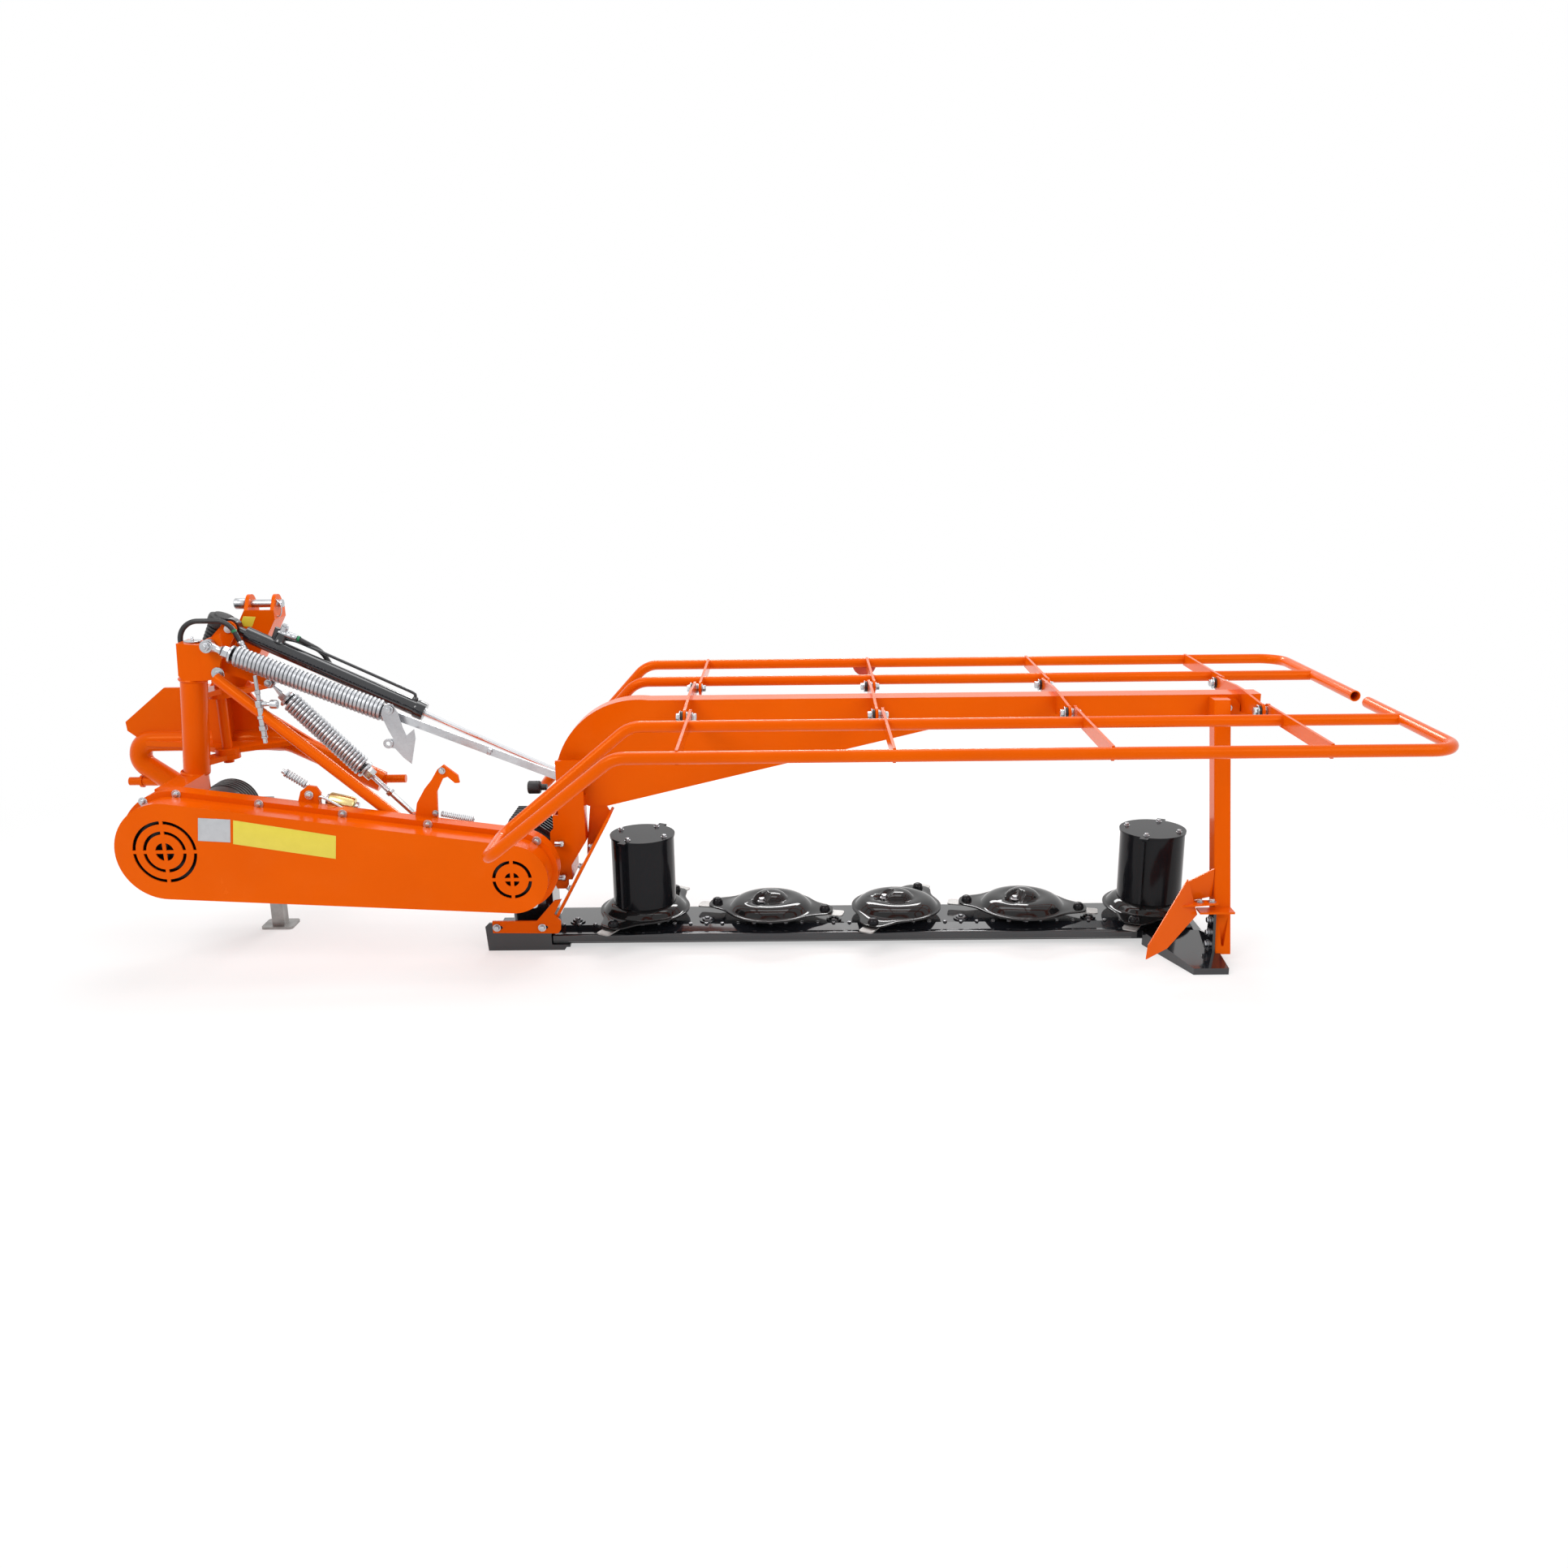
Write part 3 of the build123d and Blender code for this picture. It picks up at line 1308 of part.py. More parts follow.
# Drive shaft with its pulley, and the small pulley on the fold axis
with BuildPart() as input_shaft:
    with BuildSketch(Plane.XZ.offset(-guard_back_y + 100)):
        with Locations((big_x, big_z)):
            Circle(22)
    extrude(amount=-(100 - guard_back_y + stub_tip_y - stub_length))
    with BuildSketch(Plane.XZ.offset(-guard_back_y + 100)):
        with Locations((big_x, big_z)):
            Circle(big_radius - 34)
    extrude(amount=-84)
    with BuildSketch(Plane.XZ.offset(-(stub_tip_y - stub_length))):
        with Locations((big_x, big_z)):
            Circle(stub_radius)
    extrude(amount=-stub_length)
put(input_shaft.part, "input_shaft")

with BuildPart() as small_pulley:
    with BuildSketch(Plane.XZ.offset(-guard_back_y + 100)):
        with Locations((small_x, small_z)):
            Circle(small_radius - 34)
    extrude(amount=-82)
    with BuildSketch(Plane.XZ.offset(-guard_back_y + 20)):
        with Locations((small_x, small_z)):
            Circle(20)
    extrude(amount=-38 + running_gap)
put(small_pulley.part, "small_pulley")

with BuildPart() as shaft_cone:
    with BuildSketch(Plane.XZ.offset(-plate_rear_y - running_gap)):
        with Locations((big_x, big_z)):
            Circle(cone_radius)
            Circle(cone_radius - 6, mode=Mode.SUBTRACT)
    extrude(amount=-(cone_tip_y - plate_rear_y))
put(shaft_cone.part, "shaft_cone")

# Parking stand
with BuildPart() as parking_stand:
    with BuildSketch(Plane.XY.offset(8)):
        with Locations((stand_x, stand_y)):
            Rectangle(stand_size, stand_size)
    extrude(amount=stand_top - 8)
    with BuildSketch(Plane.XY):
        with Locations((stand_x, stand_y)):
            RectangleRounded(stand_foot, 80, 12)
    extrude(amount=8)
put(parking_stand.part, "parking_stand")
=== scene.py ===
# %% [markdown]
# A side-mounted disc mower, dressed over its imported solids. The solids already carry the shapes and the
# joints. Here they get their paint and metal, and the small pieces that a maker buys in: springs, bolts,
# hoses and fittings. Everything is in metres, in the frame of the solids: X runs out along the bar, Y
# forward to the tractor and Z up.

# %% Load the frame
import json
from math import cos, pi, radians, sin

import bmesh
import bpy
from mathutils import Matrix, Vector


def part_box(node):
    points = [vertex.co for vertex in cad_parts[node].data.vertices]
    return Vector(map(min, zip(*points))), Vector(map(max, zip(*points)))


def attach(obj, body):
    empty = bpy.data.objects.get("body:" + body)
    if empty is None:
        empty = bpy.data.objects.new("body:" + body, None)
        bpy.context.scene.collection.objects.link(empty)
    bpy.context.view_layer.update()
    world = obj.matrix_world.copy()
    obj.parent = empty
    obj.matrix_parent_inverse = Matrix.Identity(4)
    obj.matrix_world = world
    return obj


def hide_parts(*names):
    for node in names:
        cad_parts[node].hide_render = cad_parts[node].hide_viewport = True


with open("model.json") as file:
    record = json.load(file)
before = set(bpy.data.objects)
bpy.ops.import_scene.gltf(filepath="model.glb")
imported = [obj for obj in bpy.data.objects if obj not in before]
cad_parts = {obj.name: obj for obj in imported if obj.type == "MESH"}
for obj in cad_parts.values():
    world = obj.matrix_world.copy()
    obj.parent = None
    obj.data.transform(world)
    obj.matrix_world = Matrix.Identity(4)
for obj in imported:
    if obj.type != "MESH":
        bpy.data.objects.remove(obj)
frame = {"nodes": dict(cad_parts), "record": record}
scene = bpy.context.scene
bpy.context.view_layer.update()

# %% [markdown]
# The camera stands behind the mower at eye height and looks forward over it. Its place, its turn and its
# lens were fitted to points of the photograph whose sizes are known, such as the spacing of the discs. A
# matrix built from three square directions puts it there exactly, which turning by hand wouldn't.

# %% Camera
eye = Vector((0.2420, -3.9545, 1.6068))
look_down = radians(15.5914)
look_aside = radians(-0.5922)
look_roll = radians(-0.7192)
film_width = 36.0
focal_pixels, photo_pixels = 1619.95, 1932
look = Vector((sin(look_aside) * cos(look_down), cos(look_aside) * cos(look_down), -sin(look_down)))
right = Vector((cos(look_aside), -sin(look_aside), 0.0))
upward = right.cross(look)
right_rolled = right * cos(look_roll) + upward * sin(look_roll)
up_rolled = upward * cos(look_roll) - right * sin(look_roll)
camera_data = bpy.data.cameras.new("camera")
camera_data.sensor_width = film_width
camera_data.lens = film_width * focal_pixels / photo_pixels
camera = bpy.data.objects.new("camera", camera_data)
scene.collection.objects.link(camera)
turn = Matrix((right_rolled, up_rolled, -look)).transposed().to_4x4()
camera.matrix_world = Matrix.Translation(eye) @ turn
scene.camera = camera
print("camera lens", round(camera_data.lens, 2), "mm")

# %% [markdown]
# A shader is a graph of nodes. Written as nodes, a sum of three patterns takes a page, so one small class
# wraps a socket and lets the ordinary signs add the Math nodes, from either side, so that 3 - rise works as
# rise - 3 does.

# %% Shader sums
class Val:
    """A socket of numbers that can be added, taken away and multiplied."""

    def __init__(self, socket, tree):
        self.socket = socket
        self.tree = tree

    def math(self, operation, *others, clamp=False):
        """Result of a Math node on this socket and the others."""
        node = self.tree.nodes.new("ShaderNodeMath")
        node.operation = operation
        node.use_clamp = clamp
        for place, value in zip(node.inputs, (self,) + others):
            feed(self.tree, place, value)
        return Val(node.outputs[0], self.tree)

    def __add__(self, other):
        return self.math("ADD", other)

    def __radd__(self, other):
        return self.math("ADD", other)

    def __sub__(self, other):
        return self.math("SUBTRACT", other)

    def __rsub__(self, other):
        return (self * -1.0) + other

    def __mul__(self, other):
        return self.math("MULTIPLY", other)

    def __rmul__(self, other):
        return self.math("MULTIPLY", other)


def feed(tree, place, value):
    """Link a wrapped socket to a socket, or set the socket's own value."""
    if isinstance(value, Val):
        tree.links.new(value.socket, place)
    else:
        place.default_value = value


print("shader sums ready")

# %% [markdown]
# A second class holds one finish. Its one method for nodes takes a node's type, its settings and its
# sockets, and the others name what a finish needs again and again: noise, a ramp, a blend of two colours
# and a bump.

# %% Finishes
def set_stops(row, stops):
    """Give a colour ramp its stops of (place, value), where a plain number is a grey."""
    while len(row) < len(stops):
        row.new(0.5)
    for element, (at, colour) in zip(row, stops):
        element.position = at
        element.color = colour if isinstance(colour, tuple) else (colour, colour, colour, 1.0)


class Finish:
    """One material: its nodes, and the Principled shader that they feed."""

    def __init__(self, name, **shader):
        self.material = bpy.data.materials.new(name)
        self.material.use_nodes = True
        self.tree = self.material.node_tree
        self.shader = self.tree.nodes["Principled BSDF"]
        self.set(**shader)
        self.place = self.node("ShaderNodeTexCoord", out="Object")

    def node(self, kind, settings=None, sockets=None, out=0):
        """Add a node of a type, with its settings first and then its sockets, and give one output."""
        node = self.tree.nodes.new(kind)
        for key, value in (settings or {}).items():
            if key == "stops":
                set_stops(node.color_ramp.elements, value)
            else:
                setattr(node, key, value)
        for key, value in (sockets or {}).items():
            feed(self.tree, node.inputs[key], value)
        return Val(node.outputs[out], self.tree)

    def set(self, **shader):
        """Set or link sockets of the Principled shader, an underscore standing for a space."""
        for key, value in shader.items():
            feed(self.tree, self.shader.inputs[key.replace("_", " ")], value)

    def noise(self, scale, detail=3.0, roughness=0.55, place=None):
        """Noise on the object's own coordinates, or on another place."""
        return self.node("ShaderNodeTexNoise", None, {
            "Vector": place or self.place, "Scale": scale, "Detail": detail, "Roughness": roughness,
        }, out="Fac")

    def ramp(self, value, stops):
        """Numbers or colours over stops of (place, value)."""
        return self.node("ShaderNodeValToRGB", {"stops": stops}, {"Fac": value}, out="Color")

    def blend(self, share, first, second):
        """Two colours mixed by a share."""
        factor, colour_a, colour_b, colour_out = 0, 6, 7, 2
        sockets = {factor: share, colour_a: first, colour_b: second}
        return self.node("ShaderNodeMix", {"data_type": "RGBA"}, sockets, out=colour_out)

    def bump(self, height, strength, distance):
        """Lift the surface by a pattern, up to a distance in metres."""
        self.set(Normal=self.node("ShaderNodeBump", None, {
            "Strength": strength, "Distance": distance, "Height": height,
        }, out="Normal"))


print("finish class ready")

# %% [markdown]
# Sheet and tube of a new mower carry a thick sprayed coat. Up close it has the fine ripple of orange peel,
# its colour drifts a little from one panel to the next, and a thin film of dust dulls it in clouds. Noise
# on the Object coordinates gives all three at their real sizes. The orange keeps its reflections warm and
# low, so that it stays a full orange under a white sky.

# %% Sprayed orange
def sprayed(name, deep, bright, dust, rough, level, clear=0.05, film_share=0.03, tint=(1, 1, 1, 1)):
    """Sprayed coat in two close tones, with dust clouds in its gloss."""
    coat = Finish(
        name, Metallic=0.0, Coat_Weight=clear, Coat_Roughness=0.04,
        Specular_IOR_Level=level, Specular_Tint=tint,
    )
    drift = coat.noise(3.0, 2.0)
    clouds = coat.noise(9.0, 6.0, 0.65)
    film = coat.ramp(clouds, [(0.50, 0.0), (0.78, 1.0)])
    base = coat.blend(drift, deep, bright)
    coat.set(Base_Color=coat.blend(film * film_share, base, dust))
    coat.set(Roughness=film * 0.14 + rough)
    coat.bump(coat.noise(420.0, 2.0), 0.04, 0.0006)
    return coat.material


orange_paint = sprayed(
    "orange_coat", (0.67, 0.080, 0.0004, 1), (0.79, 0.112, 0.0006, 1), (0.75, 0.26, 0.06, 1),
    rough=0.17, level=0.30, clear=0.0, tint=(1.0, 0.42, 0.10, 1),
)
print("orange coat", len(orange_paint.node_tree.nodes), "nodes")

# %% [markdown]
# The end drums, the shaft and the small pulley are black and shine softly. The small pulley's black is also
# painted shade: it gives the dark inside of the belt guard that shows through the vents. The cutter bar, the
# shoes, the gearbox and the barrel of the cylinder shine like wet stone. Both are the same coat in near-black
# tones: the first with a low reflection, the second with a clear layer on top, which makes the bar look pale
# where it faces the sky.

# %% Sprayed black
black_paint = sprayed(
    "black_coat", (0.005, 0.0055, 0.007, 1), (0.010, 0.0105, 0.013, 1), (0.12, 0.115, 0.11, 1),
    rough=0.12, level=0.17, clear=0.0, film_share=0.01,
)
wet_black = sprayed(
    "wet_black_coat", (0.007, 0.008, 0.010, 1), (0.013, 0.014, 0.018, 1), (0.14, 0.135, 0.13, 1),
    rough=0.10, level=0.50, clear=0.60, film_share=0.02,
)
print("black coats", len(black_paint.node_tree.nodes), len(wet_black.node_tree.nodes), "nodes")

# %% [markdown]
# The discs are pressed steel under a smooth thin coat, glossier than the drums but without the clear layer
# of the bar. The tones are nearly those of the black above, and the gloss comes from a lower roughness and
# a higher level of reflection.

# %% Glossy black of the discs
gloss_black = sprayed(
    "gloss_black_coat", (0.006, 0.006, 0.0065, 1), (0.010, 0.010, 0.0105, 1), (0.14, 0.135, 0.13, 1),
    rough=0.05, level=0.30, clear=0.0, film_share=0.010,
)
print("disc coat", gloss_black.name)

# %% [markdown]
# Springs, pins and fasteners are zinc plated. Zinc grows small flat crystals that each reflect a little
# apart, so a Voronoi pattern of a few millimetres shifts the tone and the roughness from crystal to
# crystal. Spring wire, dark bolts and the yellow sleeve are the same plate in other tones.

# %% Zinc plate
def plated(name, dark, light, rough, crystal=180.0):
    """Plated metal with small crystals and a cloudy tarnish."""
    plate = Finish(name, Metallic=1.0)
    cells = plate.node(
        "ShaderNodeTexVoronoi", {"feature": "F1"}, {"Vector": plate.place, "Scale": crystal}, out="Color",
    )
    tone = plate.node("ShaderNodeSeparateColor", None, {"Color": cells})
    tarnish = plate.ramp(plate.noise(14.0, 4.0), [(0.35, 0.0), (0.75, 1.0)])
    plate.set(Base_Color=plate.blend(tarnish * 0.75 + tone * 0.25, light, dark))
    plate.set(Roughness=tone * 0.03 + tarnish * 0.08 + rough)
    plate.bump(plate.noise(300.0, 2.0), 0.04, 0.0003)
    return plate.material


zinc = plated("zinc_plate", (0.44, 0.45, 0.47, 1), (0.62, 0.63, 0.65, 1), 0.27)
bolt_zinc = plated("bolt_zinc", (0.34, 0.35, 0.37, 1), (0.62, 0.63, 0.65, 1), 0.24, 420.0)
spring_steel = plated("spring_steel", (0.38, 0.39, 0.41, 1), (0.54, 0.55, 0.57, 1), 0.36, 260.0)
dark_bolt = plated("dark_bolt", (0.10, 0.10, 0.105, 1), (0.22, 0.22, 0.23, 1), 0.22, 420.0)
brass = plated("brass_pass", (0.55, 0.40, 0.14, 1), (0.80, 0.64, 0.30, 1), 0.25, 300.0)
print("plated finishes", [finish.name for finish in (zinc, bolt_zinc, spring_steel, dark_bolt, brass)])

# %% [markdown]
# The knives and the stand are bare steel, ground flat and left dull. The grinding leaves long fine
# scratches, which are noise stretched along one direction with a Mapping node. The same stretch round a rod
# reads as turned marks, and the chromed rod of the cylinder has them only as a faint change of tone.

# %% Ground and turned steel
def ground(name, dark, light, rough, stretch, depth=0.12):
    """Bare steel with scratches along one direction."""
    steel = Finish(name, Metallic=1.0)
    drawn = steel.node("ShaderNodeMapping", None, {"Vector": steel.place, "Scale": stretch}, out="Vector")
    scratch = steel.noise(1.0, 4.0, 0.7, drawn)
    stain = steel.ramp(steel.noise(14.0, 5.0), [(0.45, 0.0), (0.8, 1.0)])
    steel.set(Base_Color=steel.blend(scratch * 0.6 + stain * 0.4, light, dark))
    steel.set(Roughness=scratch * 0.18 + stain * 0.10 + rough)
    steel.bump(scratch, depth, 0.0003)
    return steel.material


knife_steel = ground("knife_steel", (0.17, 0.16, 0.155, 1), (0.42, 0.41, 0.40, 1), 0.32, (60.0, 900.0, 60.0))
chrome = ground("hard_chrome", (0.70, 0.71, 0.73, 1), (0.93, 0.94, 0.96, 1), 0.13, (500.0, 30.0, 500.0), 0.0)
shaft_steel = ground(
    "turned_steel", (0.45, 0.45, 0.46, 1), (0.78, 0.78, 0.80, 1), 0.22, (30.0, 900.0, 30.0), 0.10,
)
print("steel finishes", knife_steel.name, chrome.name, shaft_steel.name)

# %% [markdown]
# Rubber hose, the drive cone and the flap are black and dull, with a grain moulded in. A fine noise bump
# gives the grain, and a slower noise greys the face where it is handled.

# %% Rubber and moulded black
def moulded(name, dark, light, rough, grain=700.0, strength=0.35):
    """Rubber or plastic with a moulded grain."""
    soft = Finish(name, Metallic=0.0)
    worn = soft.ramp(soft.noise(16.0, 4.0), [(0.4, 0.0), (0.8, 1.0)])
    soft.set(Base_Color=soft.blend(worn, dark, light))
    soft.set(Roughness=worn * 0.14 + rough)
    soft.bump(soft.noise(grain, 2.0), strength, 0.0005)
    return soft.material


rubber = moulded("rubber", (0.010, 0.010, 0.011, 1), (0.030, 0.030, 0.032, 1), 0.42)
black_plastic = moulded("moulded_black", (0.012, 0.012, 0.013, 1), (0.035, 0.035, 0.037, 1), 0.36, 380.0, 0.2)
print("soft finishes", rubber.name, black_plastic.name)

# %% [markdown]
# Every solid keeps its shape and gets the finish of the real piece. The record says which material slot a
# node has, so a short table from slot to finish dresses them all, and a few nodes have a finish of their
# own.

# %% Dress the solids
slot_finish = {
    "orange_paint": orange_paint,
    "black_paint": black_paint,
    "zinc": zinc,
    "steel": shaft_steel,
    "black_plastic": black_plastic,
    "knife_steel": knife_steel,
}
own_finish = {"lift_rod": chrome, "parking_stand": knife_steel}
for finish, nodes in (
    # The small pulley's black is partly painted shade, the dark inside of the belt guard seen through its
    # vents.
    (black_paint, ("input_shaft", "small_pulley")),
    (wet_black, ("cutter_bar", "outer_shoe", "inner_shoe", "lift_barrel", "gearbox")),
    (rubber, ("loop_hose", "feed_hose")),
):
    own_finish.update(dict.fromkeys(nodes, finish))


def dress(node, finish):
    """Give a solid's object one finish in every material slot."""
    data = frame["nodes"][node].data
    if not data.materials:
        data.materials.append(finish)
    for index in range(len(data.materials)):
        data.materials[index] = finish


subparts = frame["record"]["subparts"]
for row in subparts:
    dress(row["node"], own_finish.get(row["node"], slot_finish[row["material_slot"]]))
print("dressed", len(subparts), "solids")

# %% [markdown]
# Many small pieces are turned shapes: washers, heads, fittings. One helper spins a short profile round an
# axis with the spin operator. The rows of a profile that lie on the axis spin into many points at one
# place, which are merged, so that the pole is closed. Only then is the shape moved and turned to where it
# stands.

# %% Turned shapes
up, rearward, frontward = (0, 0, 1), (0, -1, 0), (0, 1, 0)
outward, inward = (1, 0, 0), (-1, 0, 0)
same_place = 1e-6
pole_edges = 12


def frame_along(axis, at):
    """Matrix whose Z looks along an axis, standing at a point."""
    z = Vector(axis).normalized()
    x = Vector(up).cross(z)
    if x.length < 0.05:
        x = Vector(outward).cross(z)
    x.normalize()
    return Matrix.Translation(Vector(at)) @ Matrix((x, z.cross(x), z)).transposed().to_4x4()


def turned(bm, at, axis, profile, steps=24):
    """Spin a profile of (radius, height) rows round an axis. A row of no radius lies on the axis."""
    made = [bm.verts.new((radius, 0.0, height)) for radius, height in profile]
    edges = [bm.edges.new(pair) for pair in zip(made, made[1:])]
    bmesh.ops.spin(
        bm, geom=made + edges, cent=(0, 0, 0), axis=up, dvec=(0, 0, 0),
        angle=2 * pi, steps=steps, use_merge=True, use_duplicate=False,
    )
    grown, wider = set(), set(made)
    while wider:
        grown |= wider
        wider = {edge.other_vert(vert) for vert in wider for edge in vert.link_edges} - grown
    grown = [vert for vert in bm.verts if vert in grown]
    bmesh.ops.remove_doubles(bm, verts=grown, dist=same_place)
    bmesh.ops.transform(bm, matrix=frame_along(axis, at), verts=[vert for vert in grown if vert.is_valid])


def rod(bm, at, axis, radius, length, steps=24):
    """Plain round bar from a point along an axis."""
    turned(bm, at, axis, [(0.0, 0.0), (radius, 0.0), (radius, length), (0.0, length)], steps)


print("turned shapes ready")

# %% [markdown]
# A fastener is a washer and a six-sided head with its corners taken off. The sizes of both follow the width
# across the flats, as they do on a real bolt, so one number makes a whole bolt.

# %% Heads and washers
def hexagon(bm, at, axis, across, height, turn_by=0.0):
    """Six-sided head or nut with its corners taken off."""
    corner = across / 2 / cos(radians(30))
    place = frame_along(axis, at) @ Matrix.Rotation(turn_by, 4, "Z") @ Matrix.Translation((0, 0, height / 2))
    made = bmesh.ops.create_cone(
        bm, cap_ends=True, segments=6, radius1=corner, radius2=corner, depth=height, matrix=place,
    )
    faces = {face for vert in made["verts"] for face in vert.link_faces}
    rims = [edge for face in faces if len(face.verts) == 6 for edge in face.edges]
    bmesh.ops.bevel(
        bm, geom=rims, offset=across * 0.06, segments=2, profile=0.5, affect="EDGES", material=-1,
        clamp_overlap=True,
    )


def washer(bm, at, axis, outer, thick, inner=0.0):
    """Flat ring, or a disc where it has no hole."""
    edge = min(thick * 0.25, outer * 0.1)
    profile = [
        (inner, 0.0), (outer - edge, 0.0), (outer, edge),
        (outer, thick - edge), (outer - edge, thick), (inner, thick),
    ]
    turned(bm, at, axis, profile + ([profile[0]] if inner else []), 28)


def bolt(bm, at, axis, across, washer_size=2.1):
    """Hexagon bolt head on its washer, seen from the axis's side."""
    at, axis = Vector(at), Vector(axis).normalized()
    washer_thick = across * 0.14
    washer(bm, at, axis, across * washer_size / 2, washer_thick)
    hexagon(bm, at + axis * washer_thick, axis, across, across * 0.55, turn_by=0.3)


def pin_end(bm, at, axis, radius):
    """Rounded end of a pin or a screw, 4 mm high."""
    profile = [(0.0, 0.004), (radius - 0.001, 0.004), (radius, 0.002), (radius, 0.0), (0.0, 0.0)]
    turned(bm, at, axis, profile, 16)


def eye_ring(bm, at, half, outer, inner):
    """Ring of a rod's end, standing across the machine's travel."""
    washer(bm, Vector(at) + Vector((0, half, 0)), rearward, outer, 2 * half, inner)


def block(bm, at, axis, size, soft):
    """Small block with rounded edges, its Z along an axis."""
    made = bmesh.ops.create_cube(bm, size=1.0, matrix=frame_along(axis, at) @ Matrix.Diagonal((*size, 1.0)))
    edges = list({edge for vert in made["verts"] for edge in vert.link_edges})
    bmesh.ops.bevel(bm, geom=edges, offset=soft, segments=3, profile=0.5, affect="EDGES", material=-1)


print("heads and washers ready")

# %% [markdown]
# What one body carries in one finish shares a mesh, which keeps the list of pieces short. The first helper
# merges doubles, points the faces outwards, shades the mesh smooth up to an angle and lets it ride on its
# body. Two more give the direction of a strut and the one square to it.

# %% Finish a piece
def finish_piece(bm, name, body, finish, smooth=40.0):
    """Turn a bmesh into a piece that rides on a body."""
    # Turned parts that stand on each other have their poles on one point. These stay apart, for the shading.
    no_poles = [vert for vert in bm.verts if len(vert.link_edges) < pole_edges]
    bmesh.ops.remove_doubles(bm, verts=no_poles, dist=same_place / 10)
    bmesh.ops.recalc_face_normals(bm, faces=bm.faces)
    data = bpy.data.meshes.new(name)
    bm.to_mesh(data)
    bm.free()
    piece = bpy.data.objects.new(name, data)
    scene.collection.objects.link(piece)
    data.materials.append(finish)
    data.shade_smooth()
    data.set_sharp_from_angle(angle=radians(smooth))
    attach(piece, body)
    print(name, "faces", len(data.polygons))
    return piece


def way_between(start, end):
    """Unit direction from one point to another."""
    return (Vector(end) - Vector(start)).normalized()


def square_to(way):
    """Direction square to another one, in the upright plane along the bar."""
    return Vector((-way.z, 0, way.x))


print("piece helpers ready")

# %% [markdown]
# A coil spring is a round wire that climbs as it turns. The spin operator does this by itself when each
# step also gets a small move along the axis, so one circle of wire makes the whole coil. The first and last
# turns are closed up, which is done by a smaller move per step there. The balance spring is the larger one,
# along the top.

# %% Coil springs
def coil(bm, start, end, radius, wire, turns, steps=20, sides=8):
    """Helix of round wire between two points, with its end turns closed up."""
    place = frame_along(Vector(end) - Vector(start), start)
    length = (Vector(end) - Vector(start)).length - 2 * wire
    closed, closed_climb = 1.0, 2.1 * wire
    pitch = (length - 2 * closed * closed_climb) / (turns - 2 * closed)
    ring = bmesh.ops.create_circle(
        bm, cap_ends=True, radius=wire, segments=sides,
        matrix=place @ Matrix.Translation((radius - wire, 0, wire)) @ Matrix.Rotation(pi / 2, 4, "X"),
    )
    section = ring["verts"] + list({edge for vert in ring["verts"] for edge in vert.link_edges})
    section += list({face for vert in ring["verts"] for face in vert.link_faces})
    axis = place.to_3x3() @ Vector(up)
    for count, climb in ((closed, closed_climb), (turns - 2 * closed, pitch), (closed, closed_climb)):
        number = int(count * steps)
        spun = bmesh.ops.spin(
            bm, geom=section, cent=place.to_translation(), axis=axis, dvec=axis * climb / steps,
            angle=2 * pi * number / steps, steps=number, use_merge=False, use_duplicate=False,
        )
        section = spun["geom_last"]


balance_at = Vector((-1.530, -0.034, 0.963))
balance_way = way_between(balance_at, (-0.483, -0.034, 0.539))
coil_from, coil_to = balance_at + balance_way * 0.079, balance_at + balance_way * 0.554
bm = bmesh.new()
coil(bm, coil_from, coil_to, radius=0.0325, wire=0.0059, turns=38)
balance_coil = finish_piece(bm, "balance_coil", "balance_spring", spring_steel)
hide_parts("balance_spring")

# %% [markdown]
# The breakaway spring below it is the shorter one. Two thin springs keep the belt tight: they are so small
# that fewer steps and sides are enough.

# %% Breakaway and tensioner springs
low_from, low_far = Vector((-1.385, 0.036, 0.836)), Vector((-0.971, 0.036, 0.401))
low_way = way_between(low_from, low_far)
bm = bmesh.new()
coil(bm, low_from + low_way * 0.078, low_from + low_way * 0.383, radius=0.0315, wire=0.0057, turns=25)
breakaway_coil = finish_piece(bm, "breakaway_coil", "carrier", spring_steel)
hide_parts("lower_spring")
left_from, left_to = (-1.296, -0.150, 0.597), (-1.235, -0.150, 0.556)
right_from, right_to = (-0.838, -0.150, 0.463), (-0.738, -0.150, 0.443)
bm = bmesh.new()
coil(bm, left_from, left_to, radius=0.013, wire=0.0024, turns=9, steps=16, sides=6)
coil(bm, right_from, right_to, radius=0.010, wire=0.0018, turns=17, steps=14, sides=6)
finish_piece(bm, "small_coils", "carrier", spring_steel)

# %% [markdown]
# At each end of a coil sits a plug: a turned collar that the wire rests on, with a hexagon to screw the eye
# in or out. The eyes are forged ends that taper into the plug. Each profile is a handful of radii and
# heights, spun round the strut's own line. A black rod fills the middle of the coil as painted shade: it
# stands in for the dark inside of the coil, so that no daylight shows between its turns.

# %% Plugs of the balance spring
collar = [
    (0.0, -0.004), (0.024, -0.004), (0.029, 0.000), (0.029, 0.006),
    (0.018, 0.010), (0.018, 0.018), (0.0, 0.018),
]
eye_neck = [(0.0, 0.0), (0.0150, 0.0), (0.0115, 0.010), (0.0110, 0.018), (0.0150, 0.028), (0.0, 0.028)]
bm = bmesh.new()
eye_ring(bm, balance_at, half=0.012, outer=0.020, inner=0.0104)
turned(bm, balance_at + balance_way * 0.014, balance_way, eye_neck)
hexagon(bm, balance_at + balance_way * 0.046, balance_way, across=0.033, height=0.020)
turned(bm, balance_at + balance_way * 0.070, balance_way, collar)
turned(bm, balance_at + balance_way * 0.562, -balance_way, collar)
washer(bm, balance_at + Vector((0, -0.0185, 0)), rearward, outer=0.019, thick=0.003)
